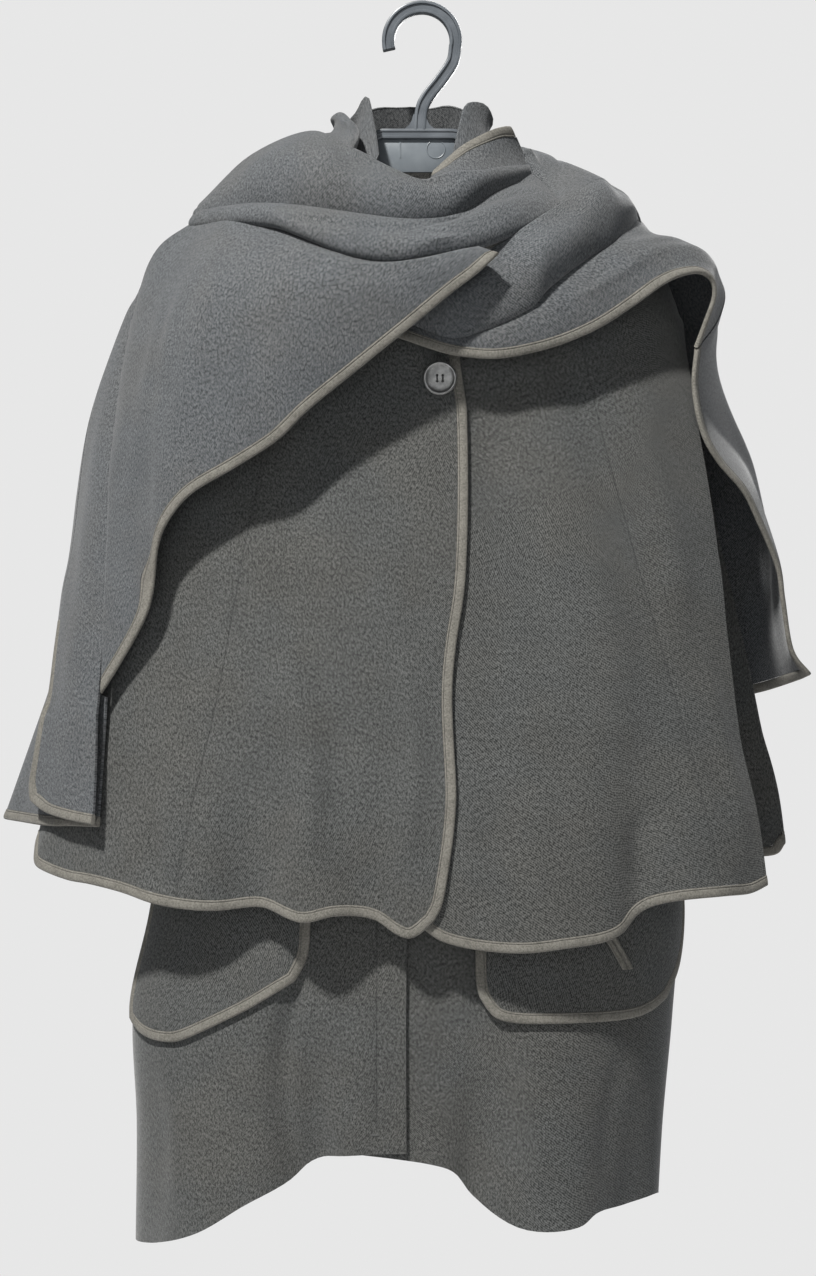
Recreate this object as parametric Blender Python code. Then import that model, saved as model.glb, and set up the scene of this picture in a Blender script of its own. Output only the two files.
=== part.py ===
"""A wool cape coat with a long sewn-on scarf, hung on a plastic hanger.

Metres, +Z up, the coat's front faces -Y. The origin is the inside top of the hook, where a rail holds it.
Tables are in millimetres and degrees. Right and left are the wearer's, so right is the -X side.
Every cloth piece is a wall on a base surface. A panel's outline is drawn on that surface, and its bound
edges are strips of the same surface, a seam's gap away from the panel.
"""

import math
from collections import namedtuple

import bmesh
import bpy
import numpy as np

MM = 0.001
WALL = 2.5 * MM
SEAM = 0.3 * MM
BINDING = 10 * MM
BINDING_GAP = 0.5 * MM
SCARF_GAP = 1.05 * MM
CLOSE_GAP = 0.8 * MM
BINDING_EXTRA = 0.7 * MM
FRONT_LAP = 5 * MM
POCKET_LIFT = 4.6 * MM
WELT_LIFT = 7.5 * MM
SIDE_POWER = 0.8
CROWD = 0.45
MOST_SWELL = 0.2

Ring = namedtuple("Ring", "z right left front back")
Cut = namedtuple("Cut", "angle z")
Point = namedtuple("Point", "x y z")
Fold = namedtuple("Fold", "angle width depth start end")
Paint = namedtuple("Paint", "red green blue roughness metallic")

WOOL = Paint(0.098, 0.104, 0.106, 0.95, 0.0)
TAUPE = Paint(0.27, 0.24, 0.205, 0.8, 0.0)
HORN = Paint(0.33, 0.32, 0.31, 0.3, 0.35)
PLASTIC = Paint(0.115, 0.13, 0.145, 0.45, 0.0)

COAT_RINGS = [
    Ring(-107.5, 57, 57, 44, 52),
    Ring(-123, 80, 80, 50, 58),
    Ring(-143.3, 110, 110, 56, 68),
    Ring(-163.5, 140, 140, 62, 76),
    Ring(-183.8, 170, 170, 68, 84),
    Ring(-198, 188, 186, 72, 90),
    Ring(-214, 200, 197, 76, 95),
    Ring(-232, 207, 203, 79, 100),
    Ring(-262, 214, 206, 82, 104),
    Ring(-300, 215, 206, 85, 108),
    Ring(-400, 212, 203, 91, 114),
    Ring(-550, 214, 205, 99, 118),
    Ring(-700, 222, 212, 107, 120),
    Ring(-775, 232, 222, 113, 122),
    Ring(-860, 250, 217, 118, 124),
    Ring(-960, 247, 208, 118, 122),
    Ring(-1070, 248, 202, 118, 118),
]
COAT_FOLDS = [
    Fold(-43, 15, 26, -830, -1050),
    Fold(-22, 5, -20, -780, -980),
    Fold(-8, 8, -4, -800, -980),
    Fold(12, 6, -14, -860, -1000),
    Fold(31, 13, 24, -830, -1030),
    Fold(60, 10, -6, -850, -1020),
]
CAPE_RINGS = [
    Ring(-103.8, 57, 57, 50, 56),
    Ring(-117.5, 80, 80, 57, 63),
    Ring(-137.8, 110, 110, 64, 74),
    Ring(-158, 140, 140, 71, 83),
    Ring(-178.3, 170, 170, 79, 92),
    Ring(-193, 190, 188, 84, 98),
    Ring(-209, 206, 200, 88, 103),
    Ring(-228, 218, 210, 92, 108),
    Ring(-252, 230, 219, 95, 113),
    Ring(-272, 237, 229, 97, 116),
    Ring(-350, 265, 260, 102, 128),
    Ring(-470, 287, 281, 116, 140),
    Ring(-545, 297, 290, 124, 146),
    Ring(-630, 315, 301, 134, 150),
    Ring(-690, 328, 316, 142, 154),
    Ring(-750, 342, 325, 146, 158),
    Ring(-800, 352, 330, 148, 160),
]
CAPE_FOLDS = [
    Fold(-64, 8, -5, -520, -745),
    Fold(-38, 6, 6, -560, -760),
    Fold(-25, 5, -14, -600, -765),
    Fold(-14.5, 5, 12, -560, -765),
    Fold(-7, 3.5, -7, -640, -770),
    Fold(14, 9, 8, -560, -790),
    Fold(34, 5, -13, -560, -775),
    Fold(47, 7, 7, -560, -760),
    Fold(150, 11, 10, -480, -740),
    Fold(180, 12, 14, -450, -740),
    Fold(214, 11, 10, -480, -740),
]
# The back of the cape flares past its fronts below the arm slits: more half width on its left and right.
BACK_FLARE = [Ring(-270, 0, 0, 0, 0), Ring(-400, -5, 8, 0, 0), Ring(-595, -10, 44, 0, 0), Ring(-760, -14, 44, 0, 0)]


def catmull(knots, places):
    """Points of the smooth curve through the knots, at places counted in knots from 0."""
    knots = np.asarray(knots, float)
    last = len(knots) - 1
    places = np.clip(np.asarray(places, float), 0, last)
    index = np.minimum(places.astype(int), max(last - 1, 0))
    t = (places - index)[..., None]
    ends = np.concatenate([[2 * knots[0] - knots[1]], knots, [2 * knots[-1] - knots[-2]]])
    a, b, c, d = (ends[index + k] for k in range(4))
    return b + 0.5 * t * (c - a + t * (2 * a - 5 * b + 4 * c - d + t * (3 * (b - c) + d - a)))


def spread(knots, count, crowd=0.0):
    """The curve through the knots as count points, evenly spaced; crowd above 0 gathers them where knots are close."""
    places = np.linspace(0, len(knots) - 1, 12 * len(knots))
    fine = catmull(knots, places)
    run = np.concatenate([[0], np.cumsum(np.linalg.norm(np.diff(fine, axis=0), axis=1))])
    mixed = (1 - crowd) * run / run[-1] + crowd * places / places[-1]
    wanted = np.linspace(0, 1, count)
    return np.stack([np.interp(wanted, mixed, fine[:, k]) for k in range(fine.shape[1])], 1)


def column(rings, name, z):
    """A column of the ring table at the heights z, as a smooth curve."""
    heights = np.array([-ring.z for ring in rings])
    values = [[getattr(ring, name)] for ring in rings]
    places = np.interp(-np.asarray(z) / MM, heights, np.arange(len(rings)))
    return catmull(values, places)[..., 0] * MM


def fold_depth(folds, angle, z):
    """How far the folds push the cloth outwards, at an angle and a height."""
    out = np.zeros(np.broadcast(angle, z).shape)
    for fold in folds:
        ramp = np.clip((z / MM - fold.start) / (fold.end - fold.start), 0, 1.15)
        out = out + fold.depth * MM * np.exp(-(((angle - fold.angle) / fold.width) ** 2)) * ramp**1.3
    return out


def ring_base(rings, folds, flare=None, lap_side=0):
    """A surface over (angle in degrees, z in metres): 0 is the centre front, and +90 the wearer's left side."""

    def base(cut):
        angle, z = cut[..., 0], cut[..., 1]
        turn = np.radians(angle)
        side, depth = np.sin(turn), np.cos(turn)
        half = np.where(side < 0, column(rings, "right", z), column(rings, "left", z))
        if flare:
            half = half + np.where(side < 0, column(flare, "right", z), column(flare, "left", z))
        deep = np.where(depth > 0, column(rings, "front", z), column(rings, "back", z))
        push = fold_depth(folds, angle, z)
        if lap_side:
            away = np.clip((angle * lap_side - 9) / 16, 0, 1)
            push = push - FRONT_LAP * (1 - away * away * (3 - 2 * away))
        x = half * side + push * side
        y = -(deep * np.sign(depth) * np.abs(depth) ** SIDE_POWER) - push * depth
        return np.stack([x, y, z], -1)

    return base


def patch_base(top, bottom, left=(), right=(), belly=0.0, toward=(0, -1, 0)):
    """A surface over (u, v) in 0..1 between four curves; left and right list only the points between the ends."""
    curves = [np.array(rows, float) * MM for rows in (top, bottom)]
    first = np.array([top[0], *left, bottom[0]], float) * MM
    last = np.array([top[-1], *right, bottom[-1]], float) * MM
    count = 60
    rows = [spread(knots, count + 1) for knots in (*curves, first, last)]
    toward = np.array(toward, float)

    def at(points, place):
        return catmull(points, np.clip(place, 0, 1) * count)

    def base(cut):
        u, v = np.clip(cut[..., 0], 0, 1), np.clip(cut[..., 1], 0, 1)
        across = at(rows[0], u) * (1 - v)[..., None] + at(rows[1], u) * v[..., None]
        down = at(rows[2], v) * (1 - u)[..., None] + at(rows[3], v) * u[..., None]
        corners = (
            rows[0][0] * ((1 - u) * (1 - v))[..., None]
            + rows[0][-1] * (u * (1 - v))[..., None]
            + rows[1][0] * ((1 - u) * v)[..., None]
            + rows[1][-1] * (u * v)[..., None]
        )
        span = np.linalg.norm(at(rows[0], u) - at(rows[1], u), axis=-1)
        rise = np.minimum(belly * MM * np.sin(math.pi * u) ** 0.7, MOST_SWELL * span) * np.sin(math.pi * v)
        return across + down - corners + rise[..., None] * toward

    return base


def slopes(base, cut, steps):
    """The base surface's two tangents at the cuts, as one-sided or central differences."""
    tangents = []
    for axis in (0, 1):
        step = np.zeros(2)
        step[axis] = steps[axis]
        tangents.append((base(cut + step) - base(cut - step)) / (2 * steps[axis]))
    return tangents


def normals(base, cut, steps, middle):
    """Unit normals of the base surface, pointing away from the point in the middle of the garment."""
    inner = cut
    if steps[0] < 0.1:
        inner = np.clip(cut, 0.012, 0.988)
    a, b = slopes(base, inner, steps)
    normal = np.cross(a, b)
    normal /= np.linalg.norm(normal, axis=-1, keepdims=True)
    away = ((base(cut) - np.array(middle)) * normal).sum(-1)
    return normal if away.sum() > 0 else -normal


def coons(sides):
    """The outline's inside as a grid of (rows, columns, 2), from its top, right, bottom and left sides."""
    top, right, bottom, left = sides
    u = np.linspace(0, 1, len(top))[None, :, None]
    v = np.linspace(0, 1, len(left))[:, None, None]
    across = top[None] * (1 - v) + bottom[None] * v
    down = left[:, None] * (1 - u) + right[:, None] * u
    corners = (
        top[0] * (1 - u) * (1 - v) + top[-1] * u * (1 - v) + bottom[0] * (1 - u) * v + bottom[-1] * u * v
    )
    return across + down - corners


def inset(base, steps, sides, widths, bare=0):
    """The four sides moved into the outline on the surface, each by its own width; bare points of the right side stay."""
    top, right, bottom, left = sides
    loop = np.concatenate([top[:-1], right[:-1], bottom[::-1][:-1], left[::-1][:-1]])
    lengths = [len(top) - 1, len(right) - 1, len(bottom) - 1, len(left) - 1]
    width = np.repeat(widths, lengths)
    width[lengths[0] : lengths[0] + bare] = 0.0
    inner = loop
    if steps[0] < 0.1:
        inner = np.clip(loop, 0.012, 0.988)
    a, b = slopes(base, inner, steps)
    up = np.cross(a, b)
    up /= np.linalg.norm(up, axis=-1, keepdims=True)
    place = base(loop)
    edge = np.roll(place, -1, 0) - place
    edge /= np.linalg.norm(edge, axis=-1, keepdims=True)
    area = np.sum(loop[:, 0] * np.roll(loop[:, 1], -1) - loop[:, 1] * np.roll(loop[:, 0], -1))
    inward = np.cross(up, edge) * (1 if area > 0 else -1)
    moved = loop.copy()
    for k in range(len(loop)):
        before, after = inward[k - 1], inward[k]
        both = np.stack([before, after, up[k]])
        goal = np.array([width[k - 1], width[k], 0.0])
        if np.linalg.det(both) ** 2 < 0.03:
            mean = before + after
            mean /= np.linalg.norm(mean)
            shift = mean * max(goal[0], goal[1]) / max(0.8, float(mean @ after))
        else:
            shift = np.linalg.solve(both, goal)
        flat = np.linalg.lstsq(np.stack([a[k], b[k]], 1), shift, rcond=None)[0]
        moved[k] = loop[k] + flat
    ends = np.cumsum([0, *lengths])
    closed = np.concatenate([moved, moved[:1]])
    parts = [respaced(base, closed[ends[k] : ends[k + 1] + 1]) for k in range(4)]
    return [parts[0], parts[1], parts[2][::-1], parts[3][::-1]]


def respaced(base, line):
    """The line's inner points spread again between its corners, which the neighbours' widths moved along it."""
    if len(line) < 4:
        return line
    ahead = np.concatenate([[2 * line[1] - line[2]], line[1:-1], [2 * line[-2] - line[-3]]])
    fine = np.stack([np.interp(np.linspace(0, len(line) - 1, 20 * len(line)), np.arange(len(line)), ahead[:, k])
                     for k in (0, 1)], 1)
    place = base(fine)
    run = np.concatenate([[0], np.cumsum(np.linalg.norm(np.diff(place, axis=0), axis=1))])
    start, end = (run[np.argmin(np.linalg.norm(place - base(corner), axis=1))] for corner in (line[0], line[-1]))
    knots = np.interp(np.arange(len(line)), np.linspace(0, len(line) - 1, 20 * len(line)), run) / run[-1]
    made = np.stack([np.interp(start + (end - start) * knots, run, fine[:, k]) for k in (0, 1)], 1)
    made[0], made[-1] = line[0], line[-1]
    return made


def material(name, paint):
    made = bpy.data.materials.new(name)
    made.use_nodes = True
    shader = made.node_tree.nodes["Principled BSDF"]
    shader.inputs["Base Color"].default_value = (paint.red, paint.green, paint.blue, 1)
    shader.inputs["Roughness"].default_value = paint.roughness
    shader.inputs["Metallic"].default_value = paint.metallic
    return made


def add_object(name, mesh_data, paint, collection, smooth=True):
    mesh = bpy.data.meshes.new(name)
    mesh_data.to_mesh(mesh)
    mesh_data.free()
    for face in mesh.polygons:
        face.use_smooth = smooth
    mesh.materials.append(material(name, paint))
    made = bpy.data.objects.new(name, mesh)
    collection.objects.link(made)
    return made


def cloth(name, outer, inward, paint, collection):
    """A closed wall: the outer points as a grid, and the same grid moved by the inward vectors."""
    rows, columns = outer.shape[:2]
    body = bmesh.new()
    bmesh.ops.create_grid(body, x_segments=columns - 1, y_segments=rows - 1, size=1)
    layer = body.verts.layers.float_vector.new("inward")
    body.verts.ensure_lookup_table()
    for vert, place, depth in zip(body.verts, outer.reshape(-1, 3), inward.reshape(-1, 3)):
        vert.co = place
        vert[layer] = depth
    pushed = bmesh.ops.extrude_face_region(body, geom=body.faces[:], use_keep_orig=True)
    for vert in (item for item in pushed["geom"] if isinstance(item, bmesh.types.BMVert)):
        vert.co += vert[layer]
    bmesh.ops.recalc_face_normals(body, faces=body.faces[:])
    return add_object(name, body, paint, collection)


class Cloth:
    """One base surface with its step sizes for slopes and the point that its outside faces away from."""

    def __init__(self, base, steps, middle, collection, gap=BINDING_GAP):
        self.base = base
        self.steps = np.array(steps)
        self.middle = middle
        self.collection = collection
        self.gap = gap

    def wall(self, name, grid, paint, lift=0.0, extra=0.0):
        out = normals(self.base, grid, self.steps, self.middle)
        outer = self.base(grid) + out * (lift + extra)
        return cloth(name, outer, -out * (WALL + 2 * extra), paint, self.collection)

    def panel(self, name, sides, edges, lift=0.0, bare=0):
        """A panel with its bound edges. edges has a word for top, right, bottom and left:
        bound, seam or free. Neighbouring bound edges share one strip, which leaves out the bare first
        stretches of the right side."""
        gap = {"bound": BINDING + self.gap, "seam": SEAM / 2, "free": 0.0}
        width = {"bound": BINDING, "seam": SEAM / 2, "free": 0.0}
        rim = {"bound": 0.0, "seam": SEAM / 2, "free": 0.0}
        field = inset(self.base, self.steps, sides, [gap[word] for word in edges], bare)
        self.wall(name, coons(field), WOOL, lift)
        if "bound" not in edges:
            return
        outer = inset(self.base, self.steps, sides, [rim[word] for word in edges], bare)
        inner = inset(self.base, self.steps, sides, [width[word] for word in edges], bare)
        strip = np.stack([run_of(outer, edges), run_of(inner, edges)])[:, bare:]
        self.wall(name + "_binding", strip, TAUPE, lift, BINDING_EXTRA)


def run_of(sides, edges):
    """The points of the bound sides, in order round the outline from the first after an unbound one."""
    top, right, bottom, left = sides
    around = [top, right, bottom[::-1], left[::-1]]
    start = next(k for k in range(4) if edges[k] == "bound" and edges[k - 1] != "bound")
    chosen = []
    for k in range(start, start + 4):
        if edges[k % 4] != "bound":
            break
        chosen.append(around[k % 4] if not chosen else around[k % 4][1:])
    return np.concatenate(chosen)


def cuts(rows):
    """Table rows of angle and height in millimetres as (degrees, metres)."""
    return np.array([(row[0], row[1] * MM) for row in rows], float)


def outline(top, right, bottom, left, columns, rows):
    """Four sides in (angle, z): top and bottom run from low to high angle, right and left downwards."""
    scale = np.array([0.004, 1.0])
    made = []
    for knots, count in ((top, columns), (right, rows), (bottom, columns), (left, rows)):
        side = spread(cuts(knots) * scale, count + 1, CROWD) / scale
        angles = [knot[0] for knot in knots]
        side[:, 0] = np.clip(side[:, 0], min(angles), max(angles))
        made.append(side)
    return made


def square(columns, rows):
    """The whole of a patch's own surface as four sides."""
    u = np.linspace(0, 1, columns + 1)
    v = np.linspace(0, 1, rows + 1)
    top = np.stack([u, 0 * u], 1)
    left = np.stack([0 * v, v], 1)
    return [top, left + [1, 0], top + [0, 1], left]


COAT_HEM_RIGHT = [
    Cut(-90, -1062), Cut(-76, -1057), Cut(-60, -1048), Cut(-44, -1031), Cut(-34, -1006), Cut(-27.5, -990),
    Cut(-23, -973), Cut(-15, -966), Cut(-3.2, -963),
]
COAT_HEM_LEFT = [
    Cut(-12, -966), Cut(2, -973), Cut(8, -982), Cut(12.5, -1001), Cut(21.5, -1022), Cut(34, -1022),
    Cut(42, -1015), Cut(57, -1017), Cut(75, -1016), Cut(90, -1024),
]
ARMHOLE_RIGHT = [Cut(-90, -107.5), Cut(-90, -150), Cut(-90, -200), Cut(-84, -240), Cut(-70, -290), Cut(-65, -350),
                 Cut(-71, -410), Cut(-85, -455), Cut(-90, -490), Cut(-90, -600), Cut(-90, -760), Cut(-90, -920)]
ARMHOLE_LEFT = [Cut(-row.angle, row.z) for row in ARMHOLE_RIGHT]


def add_coat(collection):
    """The long coat body: two fronts that lap at the centre, and a back, with open armholes."""
    middle = (0, 0, -0.6)
    fronts = {
        "coat_front_right": (0, [Cut(-90, -107.5), Cut(-60, -165), Cut(-30, -225), Cut(-3, -245)],
                             [Cut(-3, -245), Cut(-3, -500), Cut(-3.2, -750), Cut(-3.2, -963)],
                             COAT_HEM_RIGHT, [*ARMHOLE_RIGHT, Cut(-90, -1062)], ("free", "free", "free", "seam")),
        "coat_front_left": (1, [Cut(-12, -245), Cut(25, -228), Cut(60, -165), Cut(90, -107.5)],
                            [*ARMHOLE_LEFT, Cut(90, -1024)],
                            COAT_HEM_LEFT, [Cut(-12, -245), Cut(-12, -600), Cut(-12, -966)],
                            ("free", "seam", "free", "free")),
    }
    for name, (lap, top, right, bottom, left, edges) in fronts.items():
        base = ring_base(COAT_RINGS, COAT_FOLDS, lap_side=lap)
        Cloth(base, (0.5, 0.002), middle, collection).panel(
            name, outline(top, right, bottom, left, 12, 15), edges)
    sides = outline(
        [Cut(90, -107.5), Cut(130, -109), Cut(180, -110), Cut(230, -109), Cut(270, -107.5)],
        [Cut(180 - row.angle, row.z) for row in ARMHOLE_RIGHT] + [Cut(270, -1062)],
        [Cut(90, -1024), Cut(115, -1012), Cut(150, -1004), Cut(180, -1004), Cut(215, -1012), Cut(245, -1040),
         Cut(270, -1062)],
        [Cut(180 - row.angle, row.z) for row in ARMHOLE_LEFT] + [Cut(90, -1024)], 14, 15)
    Cloth(ring_base(COAT_RINGS, COAT_FOLDS), (0.5, 0.002), middle, collection).panel(
        "coat_back", sides, ("free", "seam", "free", "seam"))


def add_pockets(collection):
    """Two patch pockets with bound edges, and the two strips of the slanted welt on the left one."""
    coat = ring_base(COAT_RINGS, COAT_FOLDS)
    surface = Cloth(coat, (0.5, 0.002), (0, 0, -0.6), collection)
    edges = ("free", "bound", "bound", "bound")
    surface.panel("pocket_right", outline(
        [Cut(-80, -735), Cut(-52, -735), Cut(-23, -735)],
        [Cut(-23, -735), Cut(-23.2, -775), Cut(-23.7, -803), Cut(-25.2, -818)],
        [Cut(-78.6, -868), Cut(-68, -877.5), Cut(-58, -880), Cut(-50, -875), Cut(-36.4, -851), Cut(-28.5, -830),
         Cut(-25.2, -818)],
        [Cut(-80, -735), Cut(-80, -800), Cut(-80, -850), Cut(-78.6, -868)], 14, 6), edges, POCKET_LIFT)
    surface.panel("pocket_left", outline(
        [Cut(11, -740), Cut(48, -740), Cut(86, -740)],
        [Cut(86, -740), Cut(84, -775), Cut(78, -818), Cut(68, -846)],
        [Cut(14.5, -851), Cut(20, -857.5), Cut(28, -857), Cut(50, -859), Cut(60, -854), Cut(68, -846)],
        [Cut(11, -740), Cut(11, -796), Cut(11.5, -830), Cut(14.5, -851)], 14, 6), edges, POCKET_LIFT)
    for name, shift in (("pocket_welt_upper", 0.0), ("pocket_welt_lower", 1.75)):
        top = [Cut(36.5 + shift, -768), Cut(38 + shift, -767)]
        low = [Cut(47.5 + shift, -817.5), Cut(49 + shift, -816.5)]
        surface.wall(name, coons(outline(top, [top[1], low[1]], low, [top[0], low[0]], 1, 4)), TAUPE, WELT_LIFT)


def add_cape(collection):
    """The cape's two fronts and its back. They join on the shoulders, and arm slits open below."""
    middle = (0, 0, -0.5)
    steps = (0.5, 0.002)
    shoulder = [Cut(-90, -103.8), Cut(-90, -130), Cut(-90, -157), Cut(-90, -188), Cut(-90, -215)]
    surface = Cloth(ring_base(CAPE_RINGS, CAPE_FOLDS), steps, middle, collection)
    surface.panel("cape_front_right", outline(
        [Cut(-90, -103.8), Cut(-65, -160), Cut(-40, -225), Cut(-15, -275), Cut(5.8, -296)],
        [Cut(5.8, -296), Cut(6.4, -330), Cut(7, -360), Cut(6.7, -430), Cut(5.8, -500), Cut(4.4, -550),
         Cut(3.9, -593), Cut(4.6, -673), Cut(3.2, -748), Cut(1.6, -769)],
        [Cut(-80, -722), Cut(-77, -734), Cut(-70, -740), Cut(-62, -744.5), Cut(-54, -746), Cut(-46, -751),
         Cut(-38, -759), Cut(-30, -764), Cut(-23, -761), Cut(-16, -770), Cut(-11.5, -765), Cut(-7, -768.5),
         Cut(-3.5, -781), Cut(-1.2, -782.5), Cut(1.6, -769)],
        [*shoulder, Cut(-88.5, -250), Cut(-85, -330), Cut(-82, -450), Cut(-80, -600), Cut(-80, -722)], 19, 14),
        ("free", "bound", "bound", "seam"))
    surface = Cloth(ring_base(CAPE_RINGS, CAPE_FOLDS, lap_side=1), steps, middle, collection)
    surface.panel("cape_front_left", outline(
        [Cut(-4, -296), Cut(20, -270), Cut(45, -225), Cut(68, -160), Cut(90, -103.8)],
        [*[Cut(-row.angle, row.z) for row in shoulder], Cut(84, -250), Cut(69, -305), Cut(62.5, -360), Cut(62, -430),
         Cut(62, -545), Cut(62, -650), Cut(62, -749)],
        [Cut(-2.6, -762), Cut(0.4, -778), Cut(3, -787), Cut(8, -793), Cut(14, -795), Cut(20, -792), Cut(26.5, -788),
         Cut(30.8, -781), Cut(33.6, -769), Cut(36.5, -761), Cut(41, -756), Cut(48, -754), Cut(56, -754), Cut(62, -749)],
        [Cut(-4, -296), Cut(-4, -450), Cut(-4, -600), Cut(-4, -720), Cut(-2.6, -762)], 17, 14),
        ("free", "seam", "bound", "bound"))
    surface = Cloth(ring_base(CAPE_RINGS, CAPE_FOLDS, BACK_FLARE), steps, middle, collection)
    surface.panel("cape_back", outline(
        [Cut(90, -103.8), Cut(135, -105.3), Cut(180, -106.3), Cut(225, -105.3), Cut(270, -103.8)],
        [*[Cut(180 - row.angle, row.z) for row in shoulder], Cut(266, -250), Cut(259, -330), Cut(254, -450),
         Cut(251, -600), Cut(250, -722)],
        [Cut(115.6, -730), Cut(119, -741), Cut(130, -745), Cut(150, -750), Cut(180, -752), Cut(215, -750),
         Cut(240, -742), Cut(246, -735), Cut(250, -722)],
        [*[Cut(180 + row.angle, row.z) for row in shoulder], Cut(98, -265), Cut(108, -350), Cut(115, -470),
         Cut(117, -595), Cut(116, -665), Cut(115.6, -730)], 14, 13),
        ("free", "seam", "bound", "seam"))


COLLAR_TOP = [
    Point(-71, -4, -98), Point(-63, 8, -88), Point(-51, 25, -66), Point(-28, 41, -70), Point(-8, 46, -70),
    Point(14, 43, -70), Point(23, 38, -68), Point(36, 33, -80), Point(46, 27, -75), Point(60, 14, -83),
    Point(66, 4, -94), Point(69, -3, -100),
]


def collar_base():
    """The stand collar's surface: its foot is just above the cape's neck edge, and its head the table's line."""
    cape = ring_base(CAPE_RINGS, [])
    angles = np.linspace(-95, -265, 12)
    rise = np.array([0, 0, 0.5])
    neck = -103.8 - 2.5 * np.sin(np.radians(np.abs(angles) - 90))
    foot = cape(np.stack([angles, neck * MM], -1)) / MM + rise
    return patch_base(COLLAR_TOP, [tuple(row) for row in foot])


W_TOP = [Point(93, -30, -138), Point(72, -65, -148), Point(49, -95, -158), Point(28, -107, -162), Point(3, -115, -171),
         Point(-23, -113, -161), Point(-60, -92, -139), Point(-95, -50, -114), Point(-148, -20, -128), Point(-194, 4, -164)]
W_VALLEY = [Point(94, -34, -144), Point(73, -68, -161), Point(49, -98, -179), Point(24, -118, -197),
            Point(3, -126, -202), Point(-23, -126, -201), Point(-59, -118, -195), Point(-101, -100, -186),
            Point(-145, -62, -178), Point(-196, -8, -172)]
M_LOW = [Point(117, -76, -181), Point(93, -102, -195), Point(67, -126, -214), Point(38, -142, -227),
         Point(7, -150, -233), Point(-20, -151, -238), Point(-59, -144, -231), Point(-100, -122, -213),
         Point(-144, -82, -190), Point(-200, -10, -180)]
FLAP_EDGE = [Point(76, -40, -113), Point(70, -46, -109),
             Point(57, -56, -115), Point(35, -68, -129), Point(20, -76, -143), Point(10, -82, -154)]
PANEL_TOP = [Point(44, -140, -229), Point(24, -143, -233), Point(-3, -146, -238), Point(-39, -143, -239),
             Point(-83, -131, -225), Point(-116, -108, -208), Point(-152, -74, -192), Point(-188, -22, -184),
             Point(-206, -6, -187), Point(-226, -2, -200), Point(-238, -2, -218), Point(-246, -4, -243)]
PANEL_EDGE = [Point(60, -152, -236), Point(44, -153, -252), Point(23, -152, -268), Point(-11, -150, -296),
              Point(-51, -147, -328), Point(-92, -145, -361), Point(-116, -142, -384), Point(-151, -137, -406),
              Point(-188, -129, -427), Point(-209, -122, -451), Point(-218, -117, -475), Point(-222, -113, -509),
              Point(-230, -109, -532), Point(-250, -102, -566), Point(-265, -98, -589)]
CREASE = [Point(-252, -24, -283), Point(-257, -40, -324), Point(-260, -54, -365), Point(-263, -66, -406),
          Point(-263, -74, -444), Point(-264, -82, -495), Point(-265, -91, -545)]
TAIL_OUT = [
    Point(-249, 4, -245), Point(-257, 4, -258), Point(-270, 4, -291), Point(-284, 4, -331), Point(-293, 3, -368),
    Point(-299, 0, -417), Point(-302, -4, -450), Point(-305, -9, -476), Point(-310, -15, -504),
    Point(-315, -25, -549), Point(-319, -36, -592), Point(-324, -42, -608), Point(-330, -48, -645),
    Point(-333, -52, -668),
]
TAIL_FOLD = [
    Point(-247, -6, -247), *[Point(row.x - 1, row.y + 0.5, row.z) for row in CREASE], Point(-267, -99, -592),
    Point(-268, -103, -606), Point(-268, -108, -642), Point(-269, -112, -679),
]
B_TOP = [Point(6, -126, -250), Point(38, -127, -240), Point(62, -122, -224), Point(91, -112, -203),
         Point(117, -94, -184), Point(133, -78, -169), Point(150, -56, -156), Point(162, -38, -159),
         Point(177, -20, -164), Point(189, 0, -184)]
B_VALLEY = [Point(-7, -118, -283), Point(23, -124, -297), Point(54, -130, -288), Point(90, -130, -270),
            Point(104, -124, -255), Point(126, -112, -236), Point(155, -86, -213), Point(170, -60, -201),
            Point(181, -34, -189), Point(191, -2, -183)]
R_EDGE = [Point(-15, -114, -302), Point(14, -121, -311), Point(38, -124, -316), Point(62, -125, -317),
          Point(90, -124, -312), Point(118, -120, -303), Point(147, -114, -289), Point(176, -104, -269),
          Point(199, -94, -251), Point(215, -86, -242), Point(231, -77, -238), Point(243, -68, -243),
          Point(246, -64, -257), Point(239, -64, -277), Point(230, -65, -300)]
R_SIDE = [Point(208, 2, -198), Point(232, 4, -208), Point(246, 4, -218), Point(258, 2, -228), Point(263, 0, -240),
          Point(261, -8, -254), Point(251, -26, -274)]


def shifted(rows, x, y, z):
    """The rows moved, for a stretch that starts just behind another."""
    return [Point(row[0] + x, row[1] + y, row[2] + z) for row in rows]


def scarf(name, base, columns, rows, edges, collection, bare=0, gap=SCARF_GAP):
    surface = Cloth(base, (0.01, 0.01), (0, 0.06, -0.32), collection, gap)
    surface.panel(name, square(columns, rows), edges, bare=bare)


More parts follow.
